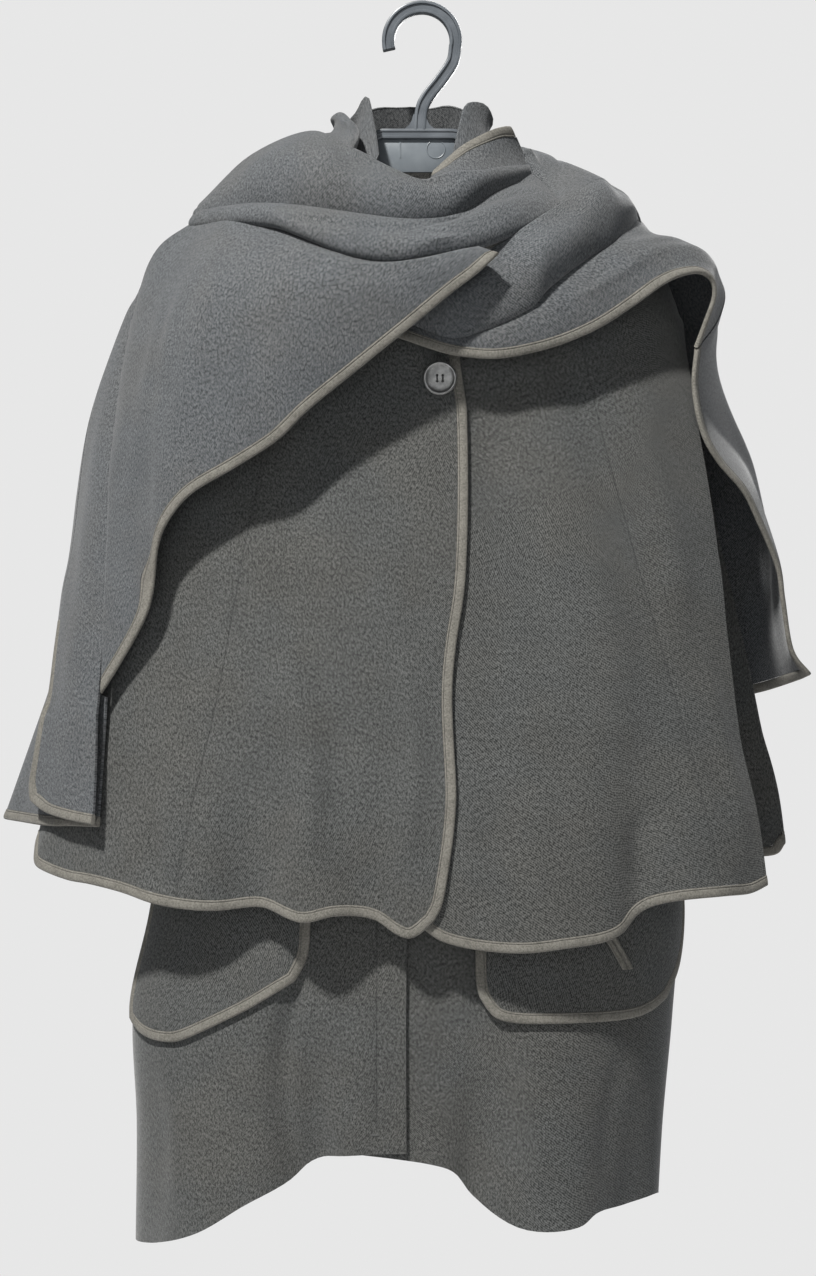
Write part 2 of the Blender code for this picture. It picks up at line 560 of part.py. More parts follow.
def add_scarf(collection):
    """The long scarf, a patch for each stretch that shows."""
    scarf("scarf_upper_wrap", patch_base(W_TOP, W_VALLEY, belly=17, toward=(0, -0.92, 0.38)), 18, 6,
          ("free", "seam", "seam", "free"), collection)
    scarf("scarf_middle_roll", patch_base(W_VALLEY, M_LOW, belly=13, toward=(0, -0.95, 0.3)), 18, 5,
          ("seam", "seam", "free", "free"), collection)
    scarf("scarf_upper_flap", patch_base(FLAP_EDGE, shifted(W_TOP[:5], 0, 3.3, -2.2), [Point(85, -32, -126)]), 9, 4,
          ("bound", "free", "free", "free"), collection, gap=CLOSE_GAP)
    scarf("scarf_right_panel", patch_base(PANEL_TOP, PANEL_EDGE, right=CREASE, belly=26, toward=(-0.4, -0.65, 0.65)),
          20, 10, ("free", "seam", "bound", "free"), collection)
    scarf("scarf_right_tail_front", patch_base(
        TAIL_FOLD[:1] + TAIL_OUT[:1], [Point(-270, -114, -695.5), Point(-294.5, -95, -692.5), Point(-315.5, -74, -688.5),
                                       Point(-330.5, -59, -680)],
        TAIL_FOLD[1:], TAIL_OUT[1:], belly=6, toward=(-0.75, -0.65, 0)), 6, 18,
        ("free", "bound", "bound", "free"), collection, bare=12)
    scarf("scarf_right_tail_rear", patch_base(
        [Point(-262, -91, -592), Point(-288, -68, -582), Point(-310, -26, -570), Point(-319, 10, -566),
         Point(-312, 66, -566), Point(-268, 128, -568)],
        [Point(-267, -104, -698), Point(-292, -84, -699), Point(-316, -60, -701), Point(-345, -14, -702),
         Point(-369, 26, -702),
         Point(-352, 84, -706), Point(-296, 150, -714)],
        [Point(-264, -97, -640)], [Point(-282, 140, -640)]), 14, 5,
        ("seam", "free", "bound", "seam"), collection, gap=CLOSE_GAP)
    scarf("scarf_right_tail_back", patch_base(
        [Point(-205, 4, -190), Point(-186, 50, -197), Point(-146, 84, -212)],
        [Point(-313.5, -23, -553), Point(-319, 10, -565), Point(-312, 66, -565), Point(-268, 128, -567)],
        [Point(-228, 2, -204), Point(-238, 2, -221), *shifted(TAIL_OUT[:9], 1.1, 1.5, 0)],
        [Point(-170, 112, -250), Point(-210, 122, -340), Point(-240, 126, -450)], belly=14, toward=(-0.7, 0.7, 0.1)),
        6, 16, ("free", "free", "seam", "free"), collection)
    scarf("scarf_left_roll", patch_base(B_TOP, B_VALLEY, belly=16, toward=(0.1, -0.9, 0.4)), 16, 5,
          ("free", "seam", "seam", "free"), collection)
    scarf("scarf_left_panel", patch_base(shifted(B_VALLEY, 0, 0.4, -1), R_EDGE, right=R_SIDE, belly=6,
                                       toward=(0.3, -0.85, 0.4)), 24, 6,
          ("seam", "seam", "bound", "free"), collection)
    scarf("scarf_left_tail", patch_base(
        [*shifted([R_EDGE[-1], *R_SIDE[::-1]], 0.7, 1.0, -0.9), Point(192.4, 0.4, -185.6)],
        [Point(340, 6, -574), Point(334, 34, -580), Point(312, 90, -592), Point(272, 128, -602)],
        [Point(228, -66, -333), Point(235, -66, -370), Point(249, -60, -394), Point(272, -48, -418),
         Point(286, -38, -442), Point(306, -20, -481), Point(312, -14, -510), Point(322, -4, -553)],
        [Point(181, 60, -203), Point(186, 100, -266), Point(215, 116, -380), Point(245, 122, -490)],
        belly=18, toward=(0.9, 0.3, 0.1)), 10, 15, ("seam", "free", "bound", "bound"), collection)
    scarf("scarf_back_wrap", patch_base(
        [Point(-95, -46.2, -113), Point(-98, 0, -107), Point(-78, 44, -104), Point(-36, 68, -100), Point(10, 70, -100),
         Point(54, 58, -104), Point(84, 22, -110), Point(95, -22, -123.9)],
        [Point(-194, 7.2, -163.4), Point(-190, 50, -182), Point(-120, 106, -212), Point(0, 118, -224),
         Point(110, 108, -212), Point(176, 58, -192), *shifted(B_TOP[:3:-1], 0, 2.5, 1.8)],
        [Point(-148, -16.2, -127)], [Point(108, -52, -158)], belly=10, toward=(0, 0.3, 0.9)), 20, 5,
        ("free", "free", "free", "free"), collection)


def add_collar(collection):
    Cloth(collar_base(), (0.01, 0.01), (0, -0.02, -0.1), collection).panel(
        "collar_stand", square(16, 3), ("free", "free", "free", "free"))


HOOK_CENTRE_Z = -23.9 * MM
HOOK_RADIUS = 29.4 * MM
HOOK_WIDTH = 10.9 * MM
HANGER_DEPTH = 9 * MM
NECK = [Point(29.0, 0, -27), Point(26.5, 0, -42), Point(16, 0, -58), Point(4.7, 0, -72.5), Point(-0.5, 0, -84),
        Point(-2.2, 0, -103)]
BAR = [
    Point(-176, 0, -203), Point(-140, 0, -177.7), Point(-80, 0, -135), Point(-42, 0, -108), Point(-35, 0, -105),
    Point(27, 0, -105), Point(38, 0, -108), Point(80, 0, -135), Point(140, 0, -177.7), Point(176, 0, -203),
]


def sweep(name, path, section, collection):
    """A closed solid: the section's (across, deep) points carried along a path in the XZ plane."""
    path = np.asarray(path, float)
    along = np.gradient(path, axis=0)
    along /= np.linalg.norm(along, axis=1, keepdims=True)
    across = np.stack([-along[:, 2], 0 * along[:, 0], along[:, 0]], 1)
    body = bmesh.new()
    rings = []
    for place, side in zip(path, across):
        rings.append([body.verts.new(place + side * a + np.array([0, d, 0])) for a, d in section])
    count = len(section)
    for low, high in zip(rings, rings[1:]):
        for k in range(count):
            body.faces.new((low[k], low[(k + 1) % count], high[(k + 1) % count], high[k]))
    body.faces.new(rings[0][::-1])
    body.faces.new(rings[-1])
    bmesh.ops.recalc_face_normals(body, faces=body.faces[:])
    return add_object(name, body, PLASTIC, collection, smooth=False)


def i_section(width, depth, groove):
    """Half widths of a bar with rounded corners and a shallow groove in its front and back faces."""
    a, d, chamfer, lip = width / 2, depth / 2, 1.2 * MM, 2.6 * MM
    quarter = [(a, d - chamfer), (a - chamfer, d), (a - lip, d), (a - lip - 0.6 * MM, d - groove)]
    top = quarter + [(-x, y) for x, y in quarter[::-1]]
    return top + [(-x, -y) for x, y in top]


def union(target, other):
    joint = target.modifiers.new("join_" + other.name, "BOOLEAN")
    joint.operation = "UNION"
    joint.solver = "EXACT"
    joint.object = other


def add_hanger(collection, cutters):
    """The hook with its foot, the bar with its two arms, and the web plate, as one moulding."""
    start = math.radians(194.5)
    arc = [np.array([HOOK_RADIUS * math.cos(t), 0, HOOK_CENTRE_Z + HOOK_RADIUS * math.sin(t)])
           for t in np.linspace(start, math.radians(-6), 15)]
    path = np.concatenate([arc, spread(np.array(NECK) * MM, 12)[1:]])
    hanger = sweep("hanger", path, i_section(HOOK_WIDTH, HANGER_DEPTH, 1.4 * MM), collection)
    bar_path = np.array(BAR) * MM
    half = 4.5 * MM
    box = [(half, 3.5 * MM), (3.5 * MM, half), (-3.5 * MM, half), (-half, 3.5 * MM), (-half, -3.5 * MM),
           (-3.5 * MM, -half), (3.5 * MM, -half), (half, -3.5 * MM)]
    bar = sweep("hanger_bar", bar_path, box, cutters)
    foot = sweep("hanger_foot", np.array([(-2.2, 0, -90), (-2.2, 0, -96), (-2.2, 0, -103)]) * MM,
                 [(4, 3.9), (-4, 3.9), (-4, -3.9), (4, -3.9)], cutters)
    spreads = {0: 5.6 * MM, 1: 8.0 * MM, 2: 12.6 * MM}
    for k, vert in enumerate(foot.data.vertices):
        vert.co.x = -2.2 * MM + math.copysign(spreads[k // 4], vert.co.x + 2.2 * MM)
        vert.co.y = math.copysign(3.9 * MM, vert.co.y)
    plate = sweep("hanger_plate", np.array([(-5, 0, -108), (-5, 0, -138)]) * MM,
                  [(0.037, 0.0013), (-0.037, 0.0013), (-0.037, -0.0013), (0.037, -0.0013)], cutters)
    for cutter in (bar, foot, plate):
        cutter.hide_render = True
        cutter.display_type = "WIRE"
        union(hanger, cutter)


BUTTON_AT = Point(14, -102.8, -330)
BUTTON_PROFILE = [(0, 0), (13.2, 0), (14, 0.9), (14, 2.6), (13.2, 3.6), (11.6, 3.6), (10.6, 2.6), (0, 2.3)]


def add_button(collection, cutters):
    """A dished four-hole button with a raised rim, standing 0.3 mm off the cape's front."""
    body = bmesh.new()
    ring = [body.verts.new((r * MM, -h * MM, 0)) for r, h in BUTTON_PROFILE]
    edges = [body.edges.new(pair) for pair in zip(ring, ring[1:])]
    bmesh.ops.spin(body, geom=ring + edges, cent=(0, 0, 0), axis=(0, 1, 0), angle=math.tau, steps=28,
                   use_merge=True)
    bmesh.ops.remove_doubles(body, verts=body.verts[:], dist=0.00001)
    bmesh.ops.recalc_face_normals(body, faces=body.faces[:])
    button = add_object("button", body, HORN, collection)
    button.location = [value * MM for value in BUTTON_AT]
    button.rotation_euler.x = math.radians(3)
    hole_body = bmesh.new()
    for x in (-2.4, 2.4):
        for z in (-2.4, 2.4):
            made = bmesh.ops.create_cone(hole_body, cap_ends=True, segments=8, radius1=1.1 * MM, radius2=1.1 * MM,
                                         depth=10 * MM)
            for vert in made["verts"]:
                vert.co = (vert.co.x + x * MM, vert.co.z - 1.5 * MM, vert.co.y + z * MM)
    bmesh.ops.recalc_face_normals(hole_body, faces=hole_body.faces[:])
    holes = add_object("button_holes", hole_body, HORN, cutters, smooth=False)
    holes.location = button.location
    holes.rotation_euler = button.rotation_euler
    holes.hide_render = True
    holes.display_type = "WIRE"
    cut = button.modifiers.new("holes", "BOOLEAN")
    cut.operation = "DIFFERENCE"
    cut.solver = "EXACT"
    cut.object = holes


def main():
    for old in list(bpy.data.objects):
        bpy.data.objects.remove(old, do_unlink=True)
    garment = bpy.data.collections.new("wool_cape_coat")
    cutters = bpy.data.collections.new("cutters")
    for made in (garment, cutters):
        bpy.context.scene.collection.children.link(made)
    cutters.hide_render = True
    add_hanger(garment, cutters)
    add_coat(garment)
    add_pockets(garment)
    add_cape(garment)
    add_collar(garment)
    add_button(garment, cutters)
    add_scarf(garment)


main()
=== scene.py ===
"""A grey wool cape coat with a long sewn-on scarf, on its plastic hanger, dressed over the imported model.

Metres, +Z up, the coat's front faces -Y and the origin is the inside top of the hanger's hook. The tables
are in millimetres and degrees. Right and left are the wearer's, so right is the -X side.
"""

import logging
import math
from dataclasses import dataclass, field
from enum import Enum
from typing import Any, Sequence

import bmesh
import bpy
import numpy as np
from mathutils import Matrix, Vector


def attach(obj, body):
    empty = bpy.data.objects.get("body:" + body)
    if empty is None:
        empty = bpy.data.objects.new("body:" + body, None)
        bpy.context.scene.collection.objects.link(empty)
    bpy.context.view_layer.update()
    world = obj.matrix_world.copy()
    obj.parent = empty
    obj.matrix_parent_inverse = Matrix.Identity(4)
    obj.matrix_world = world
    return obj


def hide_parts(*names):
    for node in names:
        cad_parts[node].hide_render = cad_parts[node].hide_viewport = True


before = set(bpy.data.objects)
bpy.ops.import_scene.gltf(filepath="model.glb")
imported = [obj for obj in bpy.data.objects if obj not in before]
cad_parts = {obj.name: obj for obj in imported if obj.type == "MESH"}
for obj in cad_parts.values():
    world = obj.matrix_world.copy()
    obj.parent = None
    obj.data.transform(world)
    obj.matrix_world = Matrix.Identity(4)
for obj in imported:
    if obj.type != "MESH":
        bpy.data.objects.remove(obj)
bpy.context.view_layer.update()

MM = 0.001
BODY = "root"
# Edges sharper than these many degrees stay sharp on each kind of piece.
CLOTH_EDGE, TAPE_EDGE, PLASTIC_EDGE, BUTTON_EDGE, DRILLED_EDGE = 50.0, 75.0, 40.0, 50.0, 35.0
# A crease bows by this share of its length, runs on past each end and fades out over these shares of it.
CREASE_BOW, CREASE_OVERRUN, CREASE_FADE = 0.06, 0.12, 0.4
LOG = logging.getLogger("cape_coat")

Array = np.ndarray
Rows = Sequence[tuple[float, ...]]
Outline = tuple[Rows, Rows, Rows, Rows]
Colour = Point = tuple[float, float, float]
Mesh = bmesh.types.BMesh
Piece = bpy.types.Object
Finish = bpy.types.Material


class Edge(Enum):
    """How one side of a panel ends: bound with tape, sewn to a neighbour, or turned under."""

    BOUND = "bound"
    SEAM = "seam"
    FREE = "free"


class Held(Enum):
    """The words for how a cloth is held."""

    HUNG = "hung"
    DRAPED = "draped"
    FOLDED = "folded"


B, S, F = Edge.BOUND, Edge.SEAM, Edge.FREE


# Shader maths


def operator(kind: str, reflected: bool = False) -> Any:
    """A Value's method that adds one Math node; reflected puts the other operand first."""

    def method(self: "Value", *others: "Value | float") -> "Value":
        """The node's result."""
        return self.maths(kind, *others, reflected=reflected)

    return method


class Value:
    """An output of a shader's node. Python's operators on it add Math nodes."""

    __add__ = __radd__ = operator("ADD")
    __mul__ = __rmul__ = operator("MULTIPLY")
    __sub__, __rsub__ = operator("SUBTRACT"), operator("SUBTRACT", True)
    __truediv__, __rtruediv__ = operator("DIVIDE"), operator("DIVIDE", True)
    __pow__, __abs__ = operator("POWER"), operator("ABSOLUTE")

    def __init__(self, shader: "Shader", socket: bpy.types.NodeSocket) -> None:
        """Keeps the socket with the shader that it belongs to."""
        self.shader, self.socket = shader, socket

    def maths(self, kind: str, *others: "Value | float", reflected: bool = False) -> "Value":
        """One Math node on this value and the others, or on the others first when reflected."""
        inputs = (*others, self) if reflected else (self, *others)
        return self.shader.node("ShaderNodeMath", {"operation": kind}, dict(enumerate(inputs)))

    def ramp(self, low: float, high: float) -> "Value":
        """A smooth rise from 0 at low to 1 at high; low above high gives a fall."""
        settings = {"interpolation_type": "SMOOTHSTEP", "clamp": True}
        if low > high:
            return 1.0 - self.ramp(high, low)
        return self.shader.node("ShaderNodeMapRange", settings, {0: self, 1: low, 2: high, 3: 0.0, 4: 1.0})


class Shader:
    """A material with one Principled BSDF, and the one method that adds its other nodes."""

    def __init__(self, name: str) -> None:
        """Makes the material with its Principled BSDF."""
        self.material = bpy.data.materials.new(name)
        self.material.use_nodes = True
        self.tree = self.material.node_tree
        self.surface = self.tree.nodes["Principled BSDF"]

    def feed(self, socket: bpy.types.NodeSocket, value: Any) -> None:
        """Links a Value to the socket, or sets it to a plain number, vector or colour."""
        if isinstance(value, Value):
            self.tree.links.new(value.socket, socket)
        else:
            socket.default_value = (*value, 1) if socket.type == "RGBA" else value

    def node(self, kind: str, settings: dict[str, Any] | None = None,
             inputs: dict[int | str, Any] | None = None, output: int | str = 0) -> Value:
        """Adds a node.

        Args:
            kind: The node's type name.
            settings: Its properties, which are set first.
            inputs: What its sockets get, by index or name.
            output: The output that is given back.

        Returns:
            That output.
        """
        made = self.tree.nodes.new(kind)
        for key, value in (settings or {}).items():
            setattr(made, key, value)
        for key, value in (inputs or {}).items():
            self.feed(made.inputs[key], value)
        return Value(self, made.outputs[output])

    def place(self, kind: str = "Object") -> Value:
        """Object or UV coordinates."""
        return self.node("ShaderNodeTexCoord", output=kind)

    def parts(self, vector: Value) -> tuple[Value, Value, Value]:
        """The X, Y and Z of a vector."""
        split = self.node("ShaderNodeSeparateXYZ", None, {0: vector}).socket.node
        return tuple(Value(self, split.outputs[k]) for k in range(3))

    def stretched(self, vector: Value, factors: Point) -> Value:
        """The vector multiplied by plain factors."""
        return self.node("ShaderNodeVectorMath", {"operation": "MULTIPLY"}, {0: vector, 1: factors})

    def grain(self, scale: float, detail: float = 2.0, rough: float = 0.55, vector: Value | None = None) -> Value:
        """Noise from 0 to 1 with a number of grains in a metre, in Object coordinates if no vector is given."""
        return self.node("ShaderNodeTexNoise", None, {"Vector": vector or self.place(), "Scale": scale,
                                                      "Detail": detail, "Roughness": rough})

    def mixed(self, factor: "Value | float", first: "Value | Colour", second: "Value | Colour",
              blend: str = "MIX") -> Value:
        """Two colours mixed, with the factor for how much of the second."""
        return self.node("ShaderNodeMix", {"data_type": "RGBA", "blend_type": blend},
                         {0: factor, 6: first, 7: second}, 2)

    def finished(self, colour: "Value | Colour", rough: "Value | float", height: Value | None = None,
                 relief: float = 0.0, plain: dict[str, float] | None = None) -> Finish:
        """Links the colour, roughness and bump, and sets the plain sockets.

        Args:
            colour: The base colour.
            rough: The roughness.
            height: A height from 0 to 1 for the bump.
            relief: What a height of 1 is, in metres.
            plain: Numbers for other sockets, by name.

        Returns:
            The material.
        """
        for key, value in {"Base Color": colour, "Roughness": rough, **(plain or {})}.items():
            self.feed(self.surface.inputs[key], value)
        if height is not None:
            bump = self.node("ShaderNodeBump", None, {"Height": height, "Distance": relief, "Strength": 1.0})
            self.feed(self.surface.inputs["Normal"], bump)
        return self.material


# Finishes


@dataclass(frozen=True)
class HeatherWool:
    """Felted coat wool: a heather of dark and light fibres over a faint twill, with cloudy patches."""

    name: str = "heather_wool"
    dark: Colour = (0.017, 0.018, 0.017)
    light: Colour = (0.122, 0.123, 0.118)
    cool: Colour = (0.985, 1.0, 1.015)
    warm: Colour = (1.015, 1.0, 0.98)
    grains: float = 820.0
    tufts: float = 470.0
    twill: float = 560.0

    def material(self) -> Finish:
        """The wool's material, which reads the cloth's own UV map in metres."""
        shader = Shader(self.name)
        weave = shader.place("UV")
        across, down, _ = shader.parts(weave)
        fibre = shader.grain(self.grains, 4.0, 0.75, shader.stretched(weave, (1.0, 0.6, 1.0)))
        fleck = shader.grain(self.grains * 2.2, vector=weave)
        tuft = shader.grain(self.tufts, 2.0, 0.6, shader.stretched(weave, (1.0, 0.7, 1.0)))
        diagonal = ((across + down * 0.8) * (math.tau * self.twill)
                    + shader.grain(90.0, vector=weave) * 14.0).maths("SINE") * 0.5 + 0.5
        level = (fibre * 0.46 + fleck * 0.18 + tuft * 0.28 + diagonal * 0.08).ramp(0.4, 0.6)
        colour = shader.mixed(level, self.dark, self.light)
        for tint in (shader.mixed(shader.grain(11.0, 3.0, 0.6).ramp(0.35, 0.66), self.cool, self.warm),
                     shader.mixed(shader.grain(34.0).ramp(0.3, 0.72), (0.95,) * 3, (1.05,) * 3)):
            colour = shader.mixed(1.0, colour, tint, "MULTIPLY")
        line = abs(shader.node("ShaderNodeAttribute", {"attribute_name": "line"}, None, 2))
        groove = line.ramp(0.0010, 0.0002)
        colour = shader.mixed(groove * 0.3, colour, (0.02,) * 3)
        height = fibre * 0.3 + fleck * 0.2 + diagonal * 0.08 - groove * 0.8 - line.ramp(0.005, 0.0) * 0.9
        return shader.finished(colour, 0.93 - level * 0.08, height, 0.00045,
                               {"Sheen Weight": 0.22, "Sheen Roughness": 0.45, "Specular IOR Level": 0.2})


@dataclass(frozen=True)
class BindingTape:
    """Woven taupe tape, folded over the cloth's edge, with an edge stitch in a shallow ditch."""

    name: str = "binding_tape"
    dark: Colour = (0.078, 0.074, 0.063)
    light: Colour = (0.225, 0.213, 0.186)
    ribs: float = 900.0
    ditch: float = 0.225
    stitch: float = 2.8 * MM

    def material(self) -> Finish:
        """The tape's material. U is the length along the tape in metres, and V goes once round it."""
        shader = Shader(self.name)
        weave = shader.place("UV")
        along, around, _ = shader.parts(weave)
        grain = shader.grain(700.0, 3.0, 0.6)
        soft = shader.grain(60.0, 2.0)
        rib = (along * (math.tau * self.ribs)).maths("SINE") * 0.5 + 0.5
        level = (grain * 0.75 + rib * 0.15 + soft * 0.25).ramp(0.3, 0.82)
        colour = shader.mixed(level, self.dark, self.light)
        ditch = abs(around - self.ditch).ramp(0.045, 0.012)
        dash = (along * (math.tau / self.stitch)).maths("SINE").ramp(-0.5, -0.1)
        colour = shader.mixed(ditch * 0.72 * (1.0 - dash * 0.45), colour, (0.045, 0.043, 0.04))
        height = grain * 0.4 + rib * 0.25 - ditch * 0.8 + ditch * dash * 0.6
        return shader.finished(colour, 0.82, height, 0.0005, {"Sheen Weight": 0.1, "Specular IOR Level": 0.25})


@dataclass(frozen=True)
class PolishedHorn:
    """Grey pewter-like button stock, softly polished, with fine turning marks."""

    name: str = "polished_horn"
    dark: Colour = (0.13, 0.13, 0.125)
    light: Colour = (0.34, 0.335, 0.325)
    centre: Point = (14 * MM, -103 * MM, -330 * MM)

    def material(self) -> Finish:
        """The button's material, with rings about its own centre."""
        shader = Shader(self.name)
        offset = shader.node("ShaderNodeVectorMath", {"operation": "SUBTRACT"},
                             {0: shader.place(), 1: self.centre})
        radius = shader.node("ShaderNodeVectorMath", {"operation": "LENGTH"}, {0: offset}, 1)
        cloud = shader.grain(160.0, 3.0)
        turned = (radius * 9000.0 + cloud * 5.0).maths("SINE") * 0.5 + 0.5
        colour = shader.mixed((cloud * 0.8 + turned * 0.2).ramp(0.3, 0.75), self.dark, self.light)
        return shader.finished(colour, 0.24 + cloud * 0.16, turned * 0.5 + cloud * 0.5, 0.00008,
                               {"Metallic": 0.72})


@dataclass(frozen=True)
class MouldedPlastic:
    """Injection-moulded grey plastic with a faint satin grain."""

    name: str = "moulded_plastic"
    base: Colour = (0.078, 0.088, 0.099)
    pale: Colour = (0.115, 0.127, 0.141)
    rough: float = 0.26

    def material(self) -> Finish:
        """The plastic's material."""
        shader = Shader(self.name)
        cloud = shader.grain(45.0, 3.0)
        satin = shader.grain(1600.0, 2.0)
        colour = shader.mixed(cloud.ramp(0.3, 0.75), self.base, self.pale)
        return shader.finished(colour, self.rough + cloud * 0.14, satin, 0.00006, {"Specular IOR Level": 0.5})


@dataclass(frozen=True)
class SewingThread:
    """Twisted polyester sewing thread."""

    name: str = "sewing_thread"
    base: Colour = (0.045, 0.045, 0.045)
    pale: Colour = (0.12, 0.12, 0.115)

    def material(self) -> Finish:
        """The thread's material."""
        shader = Shader(self.name)
        twist = shader.grain(2400.0, 2.0)
        colour = shader.mixed(twist.ramp(0.35, 0.65), self.base, self.pale)
        return shader.finished(colour, 0.6, twist, 0.0001)


@dataclass(frozen=True)
class StudioPaper:
    """Pale matt paper for the floor."""

    name: str = "studio_paper"
    base: Colour = (0.80, 0.80, 0.81)

    def material(self) -> Finish:
        """The paper's material."""
        shader = Shader(self.name)
        cloud = shader.grain(1.3, 2.0)
        colour = shader.mixed(cloud, self.base, tuple(0.97 * part for part in self.base))
        return shader.finished(colour, 0.9)


class Swatches:
    """The finishes, each made into a material once."""

    def __init__(self) -> None:
        """Makes every material."""
        self.wool = HeatherWool().material()
        self.scarf = HeatherWool("scarf_wool", (0.022, 0.025, 0.027), (0.146, 0.150, 0.154)).material()
        self.tape = BindingTape().material()
        self.horn = PolishedHorn().material()
        self.plastic = MouldedPlastic().material()
        self.web = MouldedPlastic("pale_web_plastic", (0.125, 0.143, 0.158), (0.165, 0.184, 0.199), 0.3).material()
        self.thread = SewingThread().material()


# Curves and surfaces


def unit(vectors: Array) -> Array:
    """The vectors at length 1."""
    return vectors / np.linalg.norm(vectors, axis=-1, keepdims=True)


def eased(share: Array) -> Array:
    """Shares from 0 to 1 with soft ends."""
    return share * share * (3 - 2 * share)


def run_along(points: Array) -> Array:
    """The length run to each point of a line."""
    return np.concatenate([[0], np.cumsum(np.linalg.norm(np.diff(points, axis=0), axis=1))])


def smooth_curve(knots: Any, places: Any) -> Array:
    """Points of the smooth curve through the knots.

    Args:
        knots: The points that it passes through.
        places: Where to read it, counted in knots from 0.

    Returns:
        One point for each place.
    """
    knots = np.asarray(knots, float)
    last = len(knots) - 1
    places = np.clip(np.asarray(places, float), 0, last)
    index = np.minimum(places.astype(int), max(last - 1, 0))
    t = (places - index)[..., None]
    ends = np.concatenate([[2 * knots[0] - knots[1]], knots, [2 * knots[-1] - knots[-2]]])
    a, b, c, d = (ends[index + k] for k in range(4))
    return b + 0.5 * t * (c - a + t * (2 * a - 5 * b + 4 * c - d + t * (3 * (b - c) + d - a)))


def spread(knots: Any, count: int, crowd: float = 0.0) -> Array:
    """Evenly spaced points on the smooth curve through the knots.

    Args:
        knots: The points that it passes through.
        count: How many points to give.
        crowd: Above 0 it gathers the points where the knots are close.

    Returns:
        The points.
    """
    places = np.linspace(0, len(knots) - 1, 24 * len(knots))
    fine = smooth_curve(knots, places)
    run = run_along(fine)
    mixed = (1 - crowd) * run / run[-1] + crowd * places / places[-1]
    wanted = np.linspace(0, 1, count)
    return np.stack([np.interp(wanted, mixed, fine[:, k]) for k in range(fine.shape[1])], 1)


def coons(sides: list[Array]) -> Array:
    """The inside of four sides as a grid.

    Args:
        sides: Top, right, bottom and left.

    Returns:
        An array of rows, columns and the sides' own two numbers.
    """
    top, right, bottom, left = sides
    u = np.linspace(0, 1, len(top))[None, :, None]
    v = np.linspace(0, 1, len(left))[:, None, None]
    corners = (top[0] * (1 - u) * (1 - v) + top[-1] * u * (1 - v)
               + bottom[0] * (1 - u) * v + bottom[-1] * u * v)
    return top[None] * (1 - v) + bottom[None] * v + left[:, None] * (1 - u) + right[:, None] * u - corners


def creased(rows: Rows, x: Array, y: Array, across: float, down: float) -> Array:
    """How far the placed creases push the cloth outwards.

    Args:
        rows: (x0, y0, x1, y1, width, depth): the crease's two ends on the surface, its half width and its
            depth in millimetres, below 0 for a trough.
        x: The points' first numbers on the surface.
        y: The points' second numbers.
        across: Millimetres for 1 of the first number.
        down: Millimetres for 1 of the second.

    Returns:
        The push at each point, in metres.
    """
    push = np.zeros(np.broadcast(x, y).shape)
    for x0, y0, x1, y1, width, depth in rows:
        ax, ay = (x - x0) * across, (y - y0) * down
        bx, by = (x1 - x0) * across, (y1 - y0) * down
        length = math.hypot(bx, by)
        along = (ax * bx + ay * by) / length**2
        aside = (ax * by - ay * bx) / length
        bend = aside + CREASE_BOW * length * np.sin(math.pi * np.clip(along, 0, 1)) * math.copysign(1, depth)
        fade = (np.clip((along + CREASE_OVERRUN) / CREASE_FADE, 0, 1)
                * np.clip((1 + CREASE_OVERRUN - along) / CREASE_FADE, 0, 1))
        push = push + depth * MM * np.exp(-((bend / width) ** 2)) * eased(fade)
    return push


@dataclass
class Surface:
    """A sheet that cloth lies on. Its cuts are pairs of numbers."""

    middle: Point = (0.0, 0.0, -0.5)
    steps: tuple[float, float] = (0.5, 0.002)

    def place(self, cut: Array) -> Array:
        """The points at the cuts."""
        raise NotImplementedError

    def slopes(self, cut: Array) -> list[Array]:
        """The two tangents at the cuts."""
        return [(self.place(cut + step) - self.place(cut - step)) / (2 * step.sum()) for step in np.diag(self.steps)]

    def inside(self, cut: Array) -> Array:
        """The cuts where slopes are read."""
        return cut

    def normals(self, cut: Array) -> Array:
        """Unit normals at the cuts, away from the garment's middle."""
        a, b = self.slopes(self.inside(cut))
        normal = unit(np.cross(a, b))
        away = ((self.place(cut) - np.array(self.middle)) * normal).sum(-1)
        return normal if away.sum() > 0 else -normal


